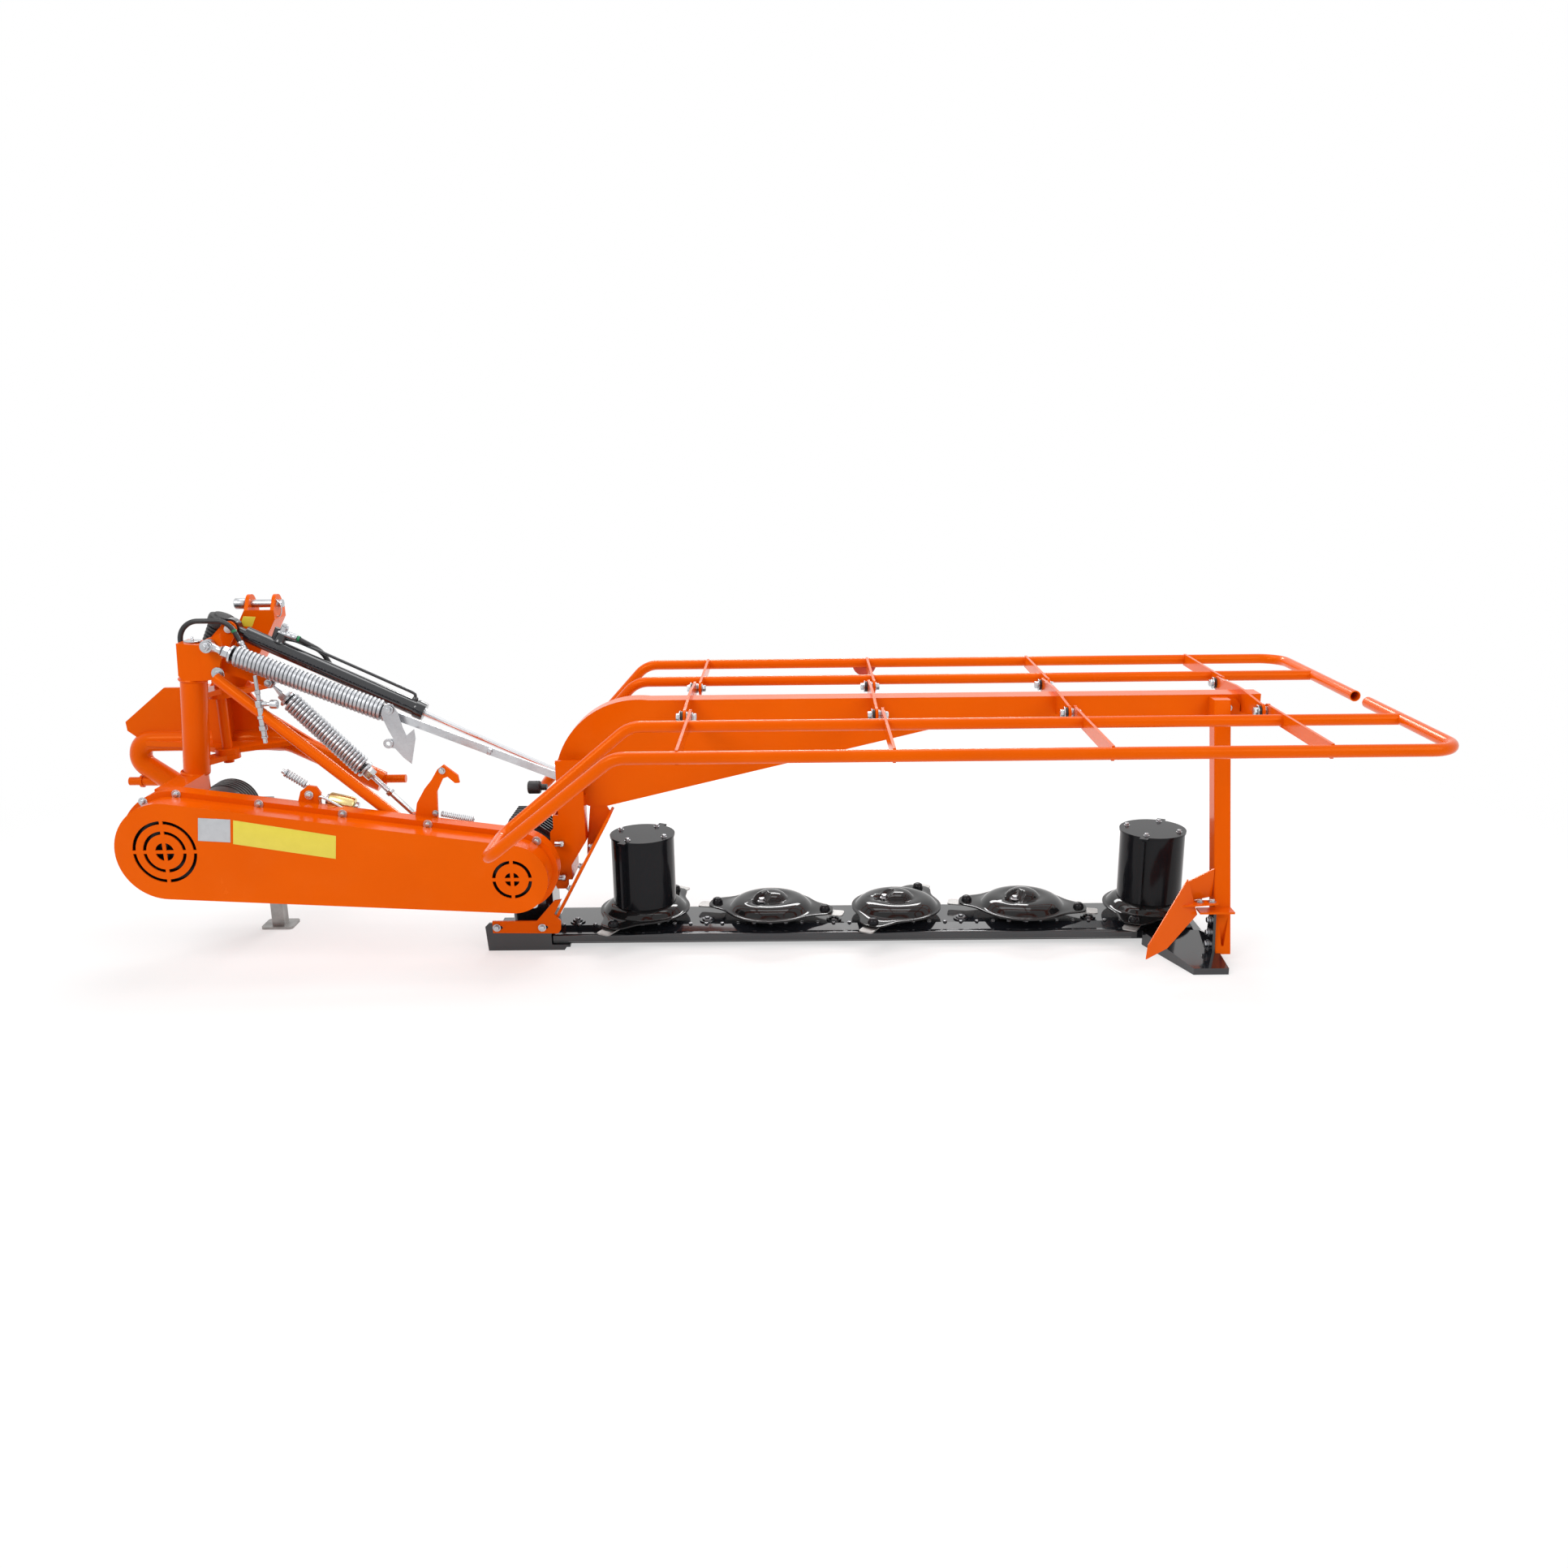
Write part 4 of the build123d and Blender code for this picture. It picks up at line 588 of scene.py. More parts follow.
hexagon(bm, balance_at + Vector((0, -0.0215, 0)), rearward, across=0.022, height=0.010, turn_by=0.4)
pin_end(bm, balance_at + Vector((0, -0.0315, 0)), rearward, 0.007)
finish_piece(bm, "balance_plug", "balance_spring", bolt_zinc)
# Black rod inside the coil: painted shade, a dark fill for the shaded inside of the coil.
bm = bmesh.new()
rod(bm, balance_at + balance_way * 0.078, balance_way, radius=0.018, length=0.470)
finish_piece(bm, "balance_painted_shade_core", "balance_spring", black_paint)

# %% [markdown]
# The breakaway spring has the same plugs, a threaded rod on its lower side and a flat block that ends in
# the eye. A thread this small only needs a profile that goes in and out as it climbs.

# %% Plugs of the breakaway spring
lower_neck = [(0.0, 0.0), (0.0055, 0.0), (0.0060, 0.006), (0.0120, 0.038), (0.0, 0.038)]
ridges = [(0.0078 + 0.0009 * (step % 2), 0.002 + 0.0022 * step) for step in range(36)]
thread = [(0.0, 0.0), (0.0085, 0.0)] + ridges + [(0.0085, 0.084), (0.0, 0.084)]
bm = bmesh.new()
eye_ring(bm, low_from, half=0.006, outer=0.018, inner=0.0074)
turned(bm, low_from + low_way * 0.014, low_way, lower_neck)
hexagon(bm, low_from + low_way * 0.048, low_way, across=0.036, height=0.022)
turned(bm, low_from + low_way * 0.070, low_way, collar)
turned(bm, low_from + low_way * 0.391, -low_way, collar)
hexagon(bm, low_from + low_way * 0.394, low_way, across=0.036, height=0.026)
turned(bm, low_from + low_way * 0.418, low_way, thread, 16)
hexagon(bm, low_from + low_way * 0.486, low_way, across=0.026, height=0.014)
block(bm, low_from + low_way * 0.543, low_way, size=(0.022, 0.012, 0.090), soft=0.003)
eye_ring(bm, low_far, half=0.006, outer=0.013, inner=0.0068)
for eye_at in (low_from, low_far):
    rod(bm, eye_at + Vector((0, 0.0125, 0)), rearward, radius=0.0068, length=0.026, steps=18)
    washer(bm, eye_at + Vector((0, -0.0166, 0)), rearward, outer=0.012, thick=0.003)
    hexagon(bm, eye_at + Vector((0, -0.0196, 0)), rearward, across=0.014, height=0.008, turn_by=0.3)
finish_piece(bm, "breakaway_plugs", "carrier", bolt_zinc)
# Black rod inside the coil: painted shade, a dark fill for the shaded inside of the coil.
bm = bmesh.new()
rod(bm, low_from + low_way * 0.078, low_way, radius=0.018, length=0.303)
finish_piece(bm, "breakaway_painted_shade_core", "carrier", black_paint)

# %% [markdown]
# The belt guard is held by a ring of small bolts on its rim: some round each wheel, and four along each
# straight side. The straight sides run from the big rim's edge to the small one's, so a share of the way
# gives a bolt's place and its distance from the middle line.

# %% Bolts of the belt guard
rim_face, rim_bolt = -0.2204, 0.013
big_wheel, big_rim = Vector((-1.619, rim_face, 0.397)), 0.156
small_wheel, small_rim = Vector((-0.602, rim_face, 0.301)), 0.114
bm = bmesh.new()
for wheel, radius, angles in ((big_wheel, big_rim, (122, 205, 255)), (small_wheel, small_rim, (56, -68))):
    for angle in angles:
        around = Vector((cos(radians(angle)), 0, sin(radians(angle))))
        bolt(bm, wheel + around * radius, rearward, rim_bolt)
belt_up = square_to(way_between(big_wheel, small_wheel))
for side, shares in ((1, (0.005, 0.244, 0.487, 0.735)), (-1, (0.02, 0.27, 0.51, 0.76))):
    for share in shares:
        radius = big_rim + (small_rim - big_rim) * share
        bolt(bm, big_wheel.lerp(small_wheel, share) + belt_up * side * radius, rearward, rim_bolt)
finish_piece(bm, "guard_rim_bolts", "carrier", bolt_zinc)

# %% [markdown]
# Each hinge flat turns on one bolt to each side of the beam. Along that bolt lie a head on its washer, a
# rubber washer, three bright ones and the nut, given by how far they stand from the flat.

# %% Hinge bolts with their washers
hinge_x = [-0.082 + 0.563 * i for i in range(4)]
hinge_y = (0.027 - 0.212, 0.027 + 0.212)
hinge_z = 0.762
bright_washers = ((0.0005, 0.016, 0.0040), (0.0048, 0.014, 0.0036), (0.0175, 0.014, 0.0030))
heads = bmesh.new()
rubbers = bmesh.new()
for x in hinge_x:
    for y in hinge_y:
        bolt(heads, (x - 0.0165, y, hinge_z), inward, 0.019, 2.0)
        washer(rubbers, (x - 0.0082, y, hinge_z), inward, outer=0.017, thick=0.0080)
        for offset, radius, thick in bright_washers:
            washer(heads, (x + offset, y, hinge_z), outward, radius, thick)
        hexagon(heads, (x + 0.0205, y, hinge_z), outward, across=0.019, height=0.010, turn_by=0.5)
finish_piece(heads, "hinge_heads", "bar", bolt_zinc)
finish_piece(rubbers, "hinge_rubbers", "bar", rubber)

# %% [markdown]
# A cutting disc is pressed from sheet: a dome with a raised cap, on a flat brim that reaches out into two
# ears. In rows of radius and height it is a lathe shape, apart from the brim, whose reach changes round the
# disc, and the scooped pocket in the cap. So the rows are laid as rings, and the two departures are worked
# into the points.

# %% Sizes of the discs
disc_pitch, disc_y = 0.405, 0.030
disc_x = [-0.252 + disc_pitch * i for i in range(5)]
disc_turn = [radians(turn) for turn in (62.0, -12.0, 62.0, -12.0, 62.0)]
pocket_turn = [None, radians(225.0), radians(190.0), radians(225.0), None]
body_reach, brim_round, ear_more, ear_half_angle = 0.134, 0.1435, 0.0600, 0.30
pocket_reach, pocket_radius, pocket_depth = 0.040, 0.030, 0.0165
cap_rows = [
    (0.012, 0.1378), (0.024, 0.1364), (0.035, 0.1330), (0.044, 0.1278), (0.050, 0.1222), (0.054, 0.1160),
]
drum_rows = [(0.060, 0.1120), (0.098, 0.1120)]
inner_dome = [(0.058, 0.1152), (0.066, 0.1166), (0.082, 0.1162), (0.098, 0.1135)]
outer_dome = [(0.112, 0.1080), (0.123, 0.0998), (0.130, 0.0915), (body_reach, 0.0883)]
brim_rows = [(0.55, 0.0880), (0.90, 0.0880), (0.985, 0.0872), (1.0, 0.0850), (0.985, 0.0832), (0.90, 0.0830)]
hub = [(0.0, 0.0), (0.056, 0.0), (0.060, 0.004), (0.060, 0.024), (0.0, 0.024)]
print("discs at", [round(x, 3) for x in disc_x])

# %% [markdown]
# A brim row is given as a share of the way from the body to the brim's edge, and the reach of that edge is
# a formula of the angle. The pocket lowers the points near its middle, most where they are nearest.

# %% Pressed discs
def brim_reach(angle, turn_by):
    """Radius of the brim's edge: round, with an ear to each side."""
    aside = abs((angle - turn_by + pi / 2) % pi - pi / 2)
    return brim_round + ear_more / (1.0 + (aside / ear_half_angle) ** 4)


def pocket_drop(spot, pocket):
    """How far the scooped pocket lowers a point of the disc."""
    middle = Vector((pocket_reach * cos(pocket), pocket_reach * sin(pocket)))
    near = 1.0 - ((spot.xy - middle).length / pocket_radius) ** 2
    return pocket_depth * max(0.0, near) ** 0.6


def pressed_disc(x, turn_by, pocket, drummed, steps=96):
    """Rings of points joined by faces, from the cap out to the brim and back under it."""
    bm = bmesh.new()
    inner = drum_rows + outer_dome if drummed else cap_rows + inner_dome + outer_dome
    rows = [(radius, height, 0.0) for radius, height in inner]
    rows += [(body_reach, height, share) for share, height in brim_rows]
    rings = []
    for radius, height, share in rows:
        ring = []
        for angle in [2 * pi * step / steps for step in range(steps)]:
            reach = radius + (brim_reach(angle, turn_by) - radius) * share
            spot = Vector((reach * cos(angle), reach * sin(angle), height))
            if pocket is not None:
                spot.z -= pocket_drop(spot, pocket)
            ring.append(bm.verts.new(spot + Vector((x, disc_y, 0))))
        rings.append(ring)
    for first, second in zip(rings, rings[1:]):
        for step in range(steps):
            after = (step + 1) % steps
            bm.faces.new((first[step], first[after], second[after], second[step]))
    bm.faces.new(rings[0])
    bm.faces.new(list(reversed(rings[-1])))
    return bm


for number in range(5):
    bm = pressed_disc(disc_x[number], disc_turn[number], pocket_turn[number], drummed=number in (0, 4))
    turned(bm, (disc_x[number], disc_y, 0.0605), up, hub, 48)
    body = f"disc_{number + 1}"
    pressing = finish_piece(bm, f"{body}_pressing", body, gloss_black, 50.0)
    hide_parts(body)

# %% [markdown]
# Each disc carries its two knives on domed bolts, and its cap has a bolt in the scooped pocket. The bolts
# follow the turn of the ears, read from the same table as the discs.

# %% Bolts of the discs
dome_head = [(0.0, 0.016), (0.008, 0.0155), (0.014, 0.012), (0.0165, 0.006), (0.0175, 0.0), (0.0, 0.0)]
knife_reach, knife_top, pocket_floor = 0.178, 0.0878, 0.1135


def round_spot(x, z, reach, angle):
    """Point round the middle of a disc, at a height and an angle."""
    return Vector((x + reach * cos(angle), disc_y + reach * sin(angle), z))


for number in range(5):
    body = f"disc_{number + 1}"
    bm = bmesh.new()
    for reach in (knife_reach, -knife_reach):
        spot = round_spot(disc_x[number], knife_top, reach, disc_turn[number])
        turned(bm, spot, up, dome_head)
        rod(bm, spot - Vector((0, 0, 0.0088)), up, radius=0.009, length=0.010, steps=16)
    finish_piece(bm, f"{body}_bolts", body, black_paint)
    if pocket_turn[number] is not None:
        bm = bmesh.new()
        spot = round_spot(disc_x[number], pocket_floor, pocket_reach, pocket_turn[number])
        washer(bm, spot, up, outer=0.013, thick=0.002)
        hexagon(bm, spot + Vector((0, 0, 0.002)), up, across=0.016, height=0.010)
        finish_piece(bm, f"{body}_cap_bolt", body, shaft_steel)

# %% [markdown]
# The cutter bar is closed by a long row of small bolts along its near edge and a ring of them round each
# hub, with a filler plug between two hubs. A washer under each head would make the mesh heavy, so these are
# plain hexagons.

# %% Bolts of the cutter bar
bar_top = 0.0575
bar_plug = [(0.0, 0.005), (0.014, 0.005), (0.016, 0.003), (0.016, 0.0), (0.0, 0.0)]
plug_x = [x + disc_pitch / 2 for x in disc_x[:-1]] + [-0.464]
bm = bmesh.new()
for step in range(39):
    hexagon(bm, (-0.505 + 0.0505 * step, -0.050, bar_top), up, across=0.012, height=0.006, turn_by=0.2 * step)
for x in disc_x:
    for step in range(6):
        spot = round_spot(x, bar_top, 0.085, radians(30 + 60 * step))
        hexagon(bm, spot, up, across=0.014, height=0.007, turn_by=0.3 * step)
for x in plug_x:
    turned(bm, (x, -0.020, bar_top + 0.004), up, bar_plug)
    hexagon(bm, (x, -0.020, bar_top + 0.009), up, across=0.014, height=0.005)
finish_piece(bm, "bar_bolts", "bar", dark_bolt)

# %% [markdown]
# Clips and thin pipes are bent round stock. A curve through a few points with a round bevel draws each one,
# and it is made a mesh before its place is final. The spline is smooth, so no bend has a corner in it.

# %% Bent round stock
def bent(name, points, radius, body, finish):
    """Round wire or pipe along a smooth curve, as a mesh piece."""
    curve = bpy.data.curves.new(name + "_path", "CURVE")
    curve.dimensions = "3D"
    curve.bevel_depth = radius
    curve.bevel_resolution = 4
    curve.resolution_u = 10
    curve.use_fill_caps = True
    spline = curve.splines.new("NURBS")
    spline.points.add(len(points) - 1)
    for spot, point in zip(spline.points, points):
        spot.co = (*point, 1.0)
    spline.order_u = 3
    spline.use_endpoint_u = True
    holder = bpy.data.objects.new(name + "_path", curve)
    scene.collection.objects.link(holder)
    bpy.context.view_layer.update()
    shape = holder.evaluated_get(bpy.context.evaluated_depsgraph_get())
    data = bpy.data.meshes.new_from_object(shape)
    data.name = name
    bpy.data.objects.remove(holder)
    piece = bpy.data.objects.new(name, data)
    scene.collection.objects.link(piece)
    data.materials.clear()
    data.materials.append(finish)
    data.shade_smooth()
    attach(piece, body)
    print(name, "faces", len(data.polygons))


print("bent stock ready")

# %% [markdown]
# Sheet parts are slabs: one face on its corners, extruded along its own normal, with the far rim just
# broken so that it catches the light.

# %% Thin plates
def slab(bm, corners, lift, edge=0.0006):
    """Thin plate on its corners, raised along its own normal, with softened edges."""
    face = bm.faces.new([bm.verts.new(corner) for corner in corners])
    face.normal_update()
    normal = face.normal.copy()
    grown = bmesh.ops.extrude_face_region(bm, geom=[face])
    top = [part for part in grown["geom"] if isinstance(part, bmesh.types.BMVert)]
    bmesh.ops.translate(bm, verts=top, vec=normal * lift)
    linked = {rim for vert in top for rim in vert.link_edges}
    rims = [rim for rim in linked if all(vert in top for vert in rim.verts)]
    bmesh.ops.bevel(bm, geom=rims, offset=edge, segments=2, profile=0.5, affect="EDGES", material=-1)


print("thin plates ready")

# %% [markdown]
# The top link pin has a turned head on one end and a ring clip through the other. The clip is spring wire
# bent to a loop, so it is one run of points.

# %% Top link pin
link_pin = Vector((-1.467, 0.262, 1.050))
pin_head = [(0.0, 0.0), (0.0145, 0.0), (0.0175, 0.003), (0.0175, 0.033), (0.015, 0.036), (0.0, 0.036)]
pin_tip = [(0.0, 0.006), (0.011, 0.0058), (0.0127, 0.004), (0.0127, -0.001), (0.0, -0.001)]
bm = bmesh.new()
turned(bm, link_pin - Vector((0.0925, 0, 0)), outward, pin_head)
turned(bm, link_pin + Vector((0.056, 0, 0)), outward, pin_tip)
finish_piece(bm, "top_pin_head", "headstock", bolt_zinc)
clip_at = link_pin + Vector((0.054, 0, 0))
clip_points = [
    (-0.006, -0.016, 0.012), (0.004, -0.018, 0.006), (0.010, -0.020, -0.012), (0.006, -0.022, -0.034),
    (-0.004, -0.022, -0.042), (-0.012, -0.020, -0.030), (-0.010, -0.017, -0.010), (-0.002, -0.015, 0.014),
]
clip_run = [clip_at + Vector(point) for point in clip_points]
bent("top_pin_clip", clip_run, 0.0022, "headstock", bolt_zinc)

# %% [markdown]
# The head of the post is closed by a washer with a grease nipple, and the brace hangs on a pin with a
# washer and nut on the near side. Where a bolt is only seen from outside, its head and washer are enough.

# %% Washers and nuts of the head
nipple = [
    (0.0, 0.012), (0.003, 0.012), (0.0042, 0.009), (0.003, 0.007), (0.0045, 0.005), (0.0045, 0.0), (0.0, 0.0),
]
bm = bmesh.new()
washer(bm, (-1.606, 0.030, 0.9655), up, outer=0.026, thick=0.004)
turned(bm, (-1.606, 0.030, 0.9695), up, nipple, 16)
washer(bm, (-1.518, -0.0195, 0.875), rearward, outer=0.020, thick=0.004)
hexagon(bm, (-1.518, -0.0235, 0.875), rearward, across=0.019, height=0.010, turn_by=0.2)
pin_end(bm, (-1.518, -0.0335, 0.875), rearward, 0.006)
finish_piece(bm, "head_nuts", "carrier", bolt_zinc)

# %% [markdown]
# The blank plates are thin printed sheet: a grey one and a yellow one on the belt guard, and a yellow one
# on the mast. They are glued flat, so each is a slab less than a millimetre thick with its edges just
# broken.

# %% Blank plates
def printed(name, tone, other, metal=0.0, rough=0.30):
    """Satin printed sheet with a faint cloud in its tone."""
    sheet = Finish(name, Metallic=metal, Coat_Weight=0.3, Coat_Roughness=0.12)
    cloud = sheet.noise(40.0, 3.0)
    sheet.set(Base_Color=sheet.blend(cloud, tone, other))
    sheet.set(Roughness=cloud * 0.12 + rough)
    sheet.bump(sheet.noise(900.0, 1.0), 0.06, 0.0002)
    return sheet.material


def blank_plate(name, body, finish, corners, y, thick):
    """Four-cornered sheet glued on an upright face, from its corners in X and Z."""
    bm = bmesh.new()
    slab(bm, [(x, y, z) for x, z in corners], thick)
    finish_piece(bm, name, body, finish)


plate_grey = printed("plate_grey", (0.42, 0.43, 0.45, 1), (0.56, 0.57, 0.59, 1), 0.7, 0.32)
label_yellow = printed("label_yellow", (0.66, 0.54, 0.035, 1), (0.74, 0.61, 0.05, 1))
guard_face, mast_face = -0.2984, 0.2141
grey_corners = [(-1.516, 0.431), (-1.421, 0.425), (-1.413, 0.495), (-1.507, 0.501)]
yellow_corners = [(-1.414, 0.420), (-1.117, 0.371), (-1.109, 0.442), (-1.405, 0.493)]
mast_corners = [(-1.534, 0.984), (-1.494, 0.982), (-1.478, 1.014), (-1.518, 1.016)]
blank_plate("guard_plate", "carrier", plate_grey, grey_corners, guard_face, 0.0008)
blank_plate("guard_label", "carrier", label_yellow, yellow_corners, guard_face, 0.0005)
blank_plate("mast_label", "headstock", label_yellow, mast_corners, mast_face, 0.0005)

# %% [markdown]
# The lift cylinder is fed through a banjo fitting on its barrel, and a thin steel pipe runs along the
# barrel to its far end. The fitting is turned, the pipe is bent stock laid just over the barrel. Every
# place is given by how far it lies along the cylinder and above it.

# %% Cylinder fittings
lift_at = Vector((-1.510, 0.100, 0.997))
lift_way = way_between(lift_at, (-0.390, 0.100, 0.465))
lift_up = square_to(lift_way)


def by_barrel(along, above, front=0.0):
    """Point along the lift cylinder, above its line and to its front."""
    return lift_at + lift_way * along + lift_up * above + Vector((0, front, 0))


port_boss = [(0.0, 0.030), (0.012, 0.030), (0.015, 0.027), (0.016, 0.006), (0.021, 0.0), (0.0, 0.0)]
end_boss = [(0.0, 0.014), (0.007, 0.014), (0.009, 0.011), (0.010, 0.0), (0.0, 0.0)]
gland_ring = [
    (0.0245, 0.0), (0.0285, 0.002), (0.0295, 0.006), (0.0295, 0.028),
    (0.028, 0.034), (0.0175, 0.036), (0.0145, 0.035), (0.0245, 0.0),
]
bm = bmesh.new()
turned(bm, by_barrel(0.150, 0.020), lift_up, port_boss)
finish_piece(bm, "port_boss", "lift_barrel", wet_black)
bm = bmesh.new()
hexagon(bm, by_barrel(0.150, 0.050), lift_up, across=0.020, height=0.008)
washer(bm, by_barrel(0.150, 0.058), lift_up, outer=0.012, thick=0.014)
hexagon(bm, by_barrel(0.150, 0.072), lift_up, across=0.018, height=0.008, turn_by=0.3)
finish_piece(bm, "port_banjo", "lift_barrel", bolt_zinc)
bent("barrel_pipe", [
    by_barrel(0.150, 0.024) + Vector((0, 0.010, 0.004)),
    by_barrel(0.180, 0.040, 0.012), by_barrel(0.230, 0.042, 0.010), by_barrel(0.530, 0.044),
    by_barrel(0.580, 0.044), by_barrel(0.596, 0.042), by_barrel(0.598, 0.022),
], 0.0048, "lift_barrel", wet_black)
bm = bmesh.new()
turned(bm, by_barrel(0.598, 0.020), lift_up, end_boss)
turned(bm, by_barrel(0.606, 0.0), lift_way, gland_ring)
finish_piece(bm, "barrel_gland", "lift_barrel", wet_black)

# %% [markdown]
# The two hoses are crimped into bright sleeves, and each carries a thin green band. A sleeve is a turned
# tube with two grooves pressed into it. The loop ends just short of the barrel, where a bent nipple meets
# it.

# %% Hose ends
green_band = moulded("green_band", (0.004, 0.17, 0.06, 1), (0.008, 0.24, 0.09, 1), 0.40)
sleeve = [
    (0.0085, 0.0), (0.0100, 0.0), (0.0108, 0.002), (0.0108, 0.014), (0.0100, 0.016), (0.0108, 0.018),
    (0.0108, 0.030), (0.0100, 0.032), (0.0108, 0.034), (0.0108, 0.044), (0.0096, 0.046), (0.0085, 0.046),
    (0.0085, 0.0),
]
band = [(0.0081, 0.0), (0.0088, 0.0005), (0.0088, 0.0075), (0.0081, 0.008), (0.0081, 0.0)]
feed_start = by_barrel(0.1405, 0.050)
feed_way = way_between(feed_start, (-1.310, 0.100, 0.962))
loop_end = Vector((-1.452, 0.048, 0.925))
loop_way = way_between((-1.500, 0.056, 1.025), loop_end)
bm = bmesh.new()
rod(bm, feed_start - feed_way * 0.008, feed_way, radius=0.0075, length=0.010, steps=18)
hexagon(bm, feed_start + feed_way * 0.001, feed_way, across=0.021, height=0.009)
turned(bm, feed_start + feed_way * 0.009, feed_way, sleeve)
finish_piece(bm, "feed_sleeve", "lift_barrel", bolt_zinc)
bm = bmesh.new()
turned(bm, feed_start + feed_way * 0.0565, feed_way, band)
finish_piece(bm, "feed_band", "lift_barrel", green_band)
bm = bmesh.new()
turned(bm, loop_end - loop_way * 0.040, loop_way, sleeve)
turned(bm, (-1.655, 0.056, 0.900), up, sleeve)
finish_piece(bm, "loop_sleeves", "carrier", bolt_zinc)
bm = bmesh.new()
turned(bm, loop_end - loop_way * 0.080, loop_way, band)
finish_piece(bm, "loop_band", "carrier", green_band)
nipple_points = [(-1.4485, 0.0495, 0.938), (-1.4493, 0.0488, 0.935), (-1.4505, 0.048, 0.928)]
bent("barrel_nipple", nipple_points, 0.0060, "lift_barrel", bolt_zinc)

# %% [markdown]
# Behind the head stands a black ribbed boot, and behind the big end of the belt guard a ribbed bellows
# closes the drive shaft. Their ribs come from profiles that go in and out as they climb.

# %% Boot and bellows
def ribs(count, first, pitch, top, wide, narrow, rise, fall):
    """Rows of a ribbed profile: out to the rib's top, along it and back into the groove, again and again."""
    rows = []
    for foot in [first + pitch * number for number in range(count)]:
        rows += [(wide, foot), (wide, foot + rise), (narrow, foot + fall)]
    return rows + top


boot_foot = Vector((-1.602, 0.164, 0.925))
boot_way = way_between(boot_foot, (-1.556, 0.164, 1.022))
boot_top = [
    (0.0440, 0.074), (0.0460, 0.079), (0.0460, 0.098), (0.0440, 0.104),
    (0.0330, 0.107), (0.0310, 0.112), (0.020, 0.115), (0.0, 0.116),
]
boot = [(0.0, 0.0), (0.034, 0.0)] + ribs(6, 0.004, 0.0115, boot_top, 0.0400, 0.0350, 0.005, 0.0075)
bm = bmesh.new()
turned(bm, boot_foot, boot_way, boot, 40)
finish_piece(bm, "rubber_boot", "carrier", rubber)
bellows_top = [(0.0868, 0.084), (0.0850, 0.087), (0.070, 0.090), (0.058, 0.088), (0.0, 0.088)]
bellows_foot = [(0.0, 0.0), (0.078, 0.0), (0.083, 0.003)]
bellows = bellows_foot + ribs(5, 0.006, 0.0155, bellows_top, 0.0868, 0.0820, 0.005, 0.0115)
bm = bmesh.new()
turned(bm, (-1.619, 0.1205, 0.397), frontward, bellows, 48)
finish_piece(bm, "shaft_bellows", "carrier", rubber)

# %% [markdown]
# A bright gusset plate braces the cheek of the balance spring. It is a slab on four corners in one upright
# plane.

# %% Gusset
gusset_y = -0.0080
bm = bmesh.new()
gusset_corners = [(-1.502, 0.962), (-1.468, 0.934), (-1.474, 0.926), (-1.510, 0.936)]
slab(bm, [(x, gusset_y, z) for x, z in gusset_corners], 0.004)
finish_piece(bm, "cheek_gusset", "carrier", bolt_zinc)

# %% [markdown]
# Under the balance spring hangs a stack of quick couplers with a side knob. Each coupler is a chain of
# short turned and six-sided lengths along one line, read off the photograph from the top down.

# %% Couplers
stack_top, stack_low = Vector((-1.381, -0.0805, 0.880)), Vector((-1.373, -0.0805, 0.664))
stack_way = way_between(stack_top, stack_low)
lengths = [
    ("round", 0.0055, 0.045), ("round", 0.0085, 0.012), ("round", 0.0065, 0.020),
    ("six-sided", 0.0120, 0.020), ("round", 0.0085, 0.026), ("six-sided", 0.0120, 0.010),
    ("round", 0.0095, 0.022), ("round", 0.0125, 0.014), ("round", 0.0080, 0.018),
    ("round", 0.0095, 0.006), ("round", 0.0065, 0.016),
]
knob = [
    (0.0, 0.0), (0.007, 0.0), (0.007, 0.020), (0.006, 0.022), (0.006, 0.032),
    (0.0125, 0.034), (0.0135, 0.037), (0.0135, 0.052), (0.0125, 0.055), (0.0, 0.055),
]
bm = bmesh.new()
start = 0.0
for form, radius, length in lengths:
    spot = stack_top + stack_way * start
    start += length
    if form == "six-sided":
        hexagon(bm, spot, stack_way, across=2 * radius, height=length)
        continue
    edge = 0.001
    side = [
        (0.0, 0.0), (radius - edge, 0.0), (radius, edge),
        (radius, length - edge), (radius - edge, length), (0.0, length),
    ]
    turned(bm, spot, stack_way, side, 18)
turned(bm, stack_top + stack_way * 0.087, (1, 0, -0.05), knob, 18)
finish_piece(bm, "coupler_stack", "carrier", bolt_zinc)

# %% [markdown]
# The belt tensioner has a bolt through its lug, a brass coloured sleeve behind it and a bent bail to the
# side. The sleeve and its washers stand on one line, which leans down along the belt.

# %% Tensioner
lean = (0.97, 0, -0.24)
stud_end = [
    (0.0, 0.0), (0.006, 0.0), (0.007, 0.002), (0.007, 0.010), (0.012, 0.011), (0.012, 0.014), (0.0, 0.014),
]
brass_sleeve = [(0.0, 0.0), (0.023, 0.0), (0.025, 0.003), (0.025, 0.070), (0.022, 0.076), (0.0, 0.076)]
bm = bmesh.new()
bolt(bm, (-1.224, -0.1705, 0.531), rearward, 0.015, 1.8)
hexagon(bm, (-1.238, -0.150, 0.558), (0.80, 0, -0.55), across=0.016, height=0.010)
turned(bm, (-1.304, -0.150, 0.602), (0.83, 0, -0.56), stud_end, 16)
washer(bm, (-1.182, -0.140, 0.508), lean, outer=0.018, thick=0.008)
washer(bm, (-1.098, -0.140, 0.486), lean, outer=0.014, thick=0.010)
finish_piece(bm, "tensioner_bolts", "carrier", bolt_zinc)
bm = bmesh.new()
turned(bm, (-1.174, -0.140, 0.506), lean, brass_sleeve)
finish_piece(bm, "tensioner_sleeve", "carrier", brass)
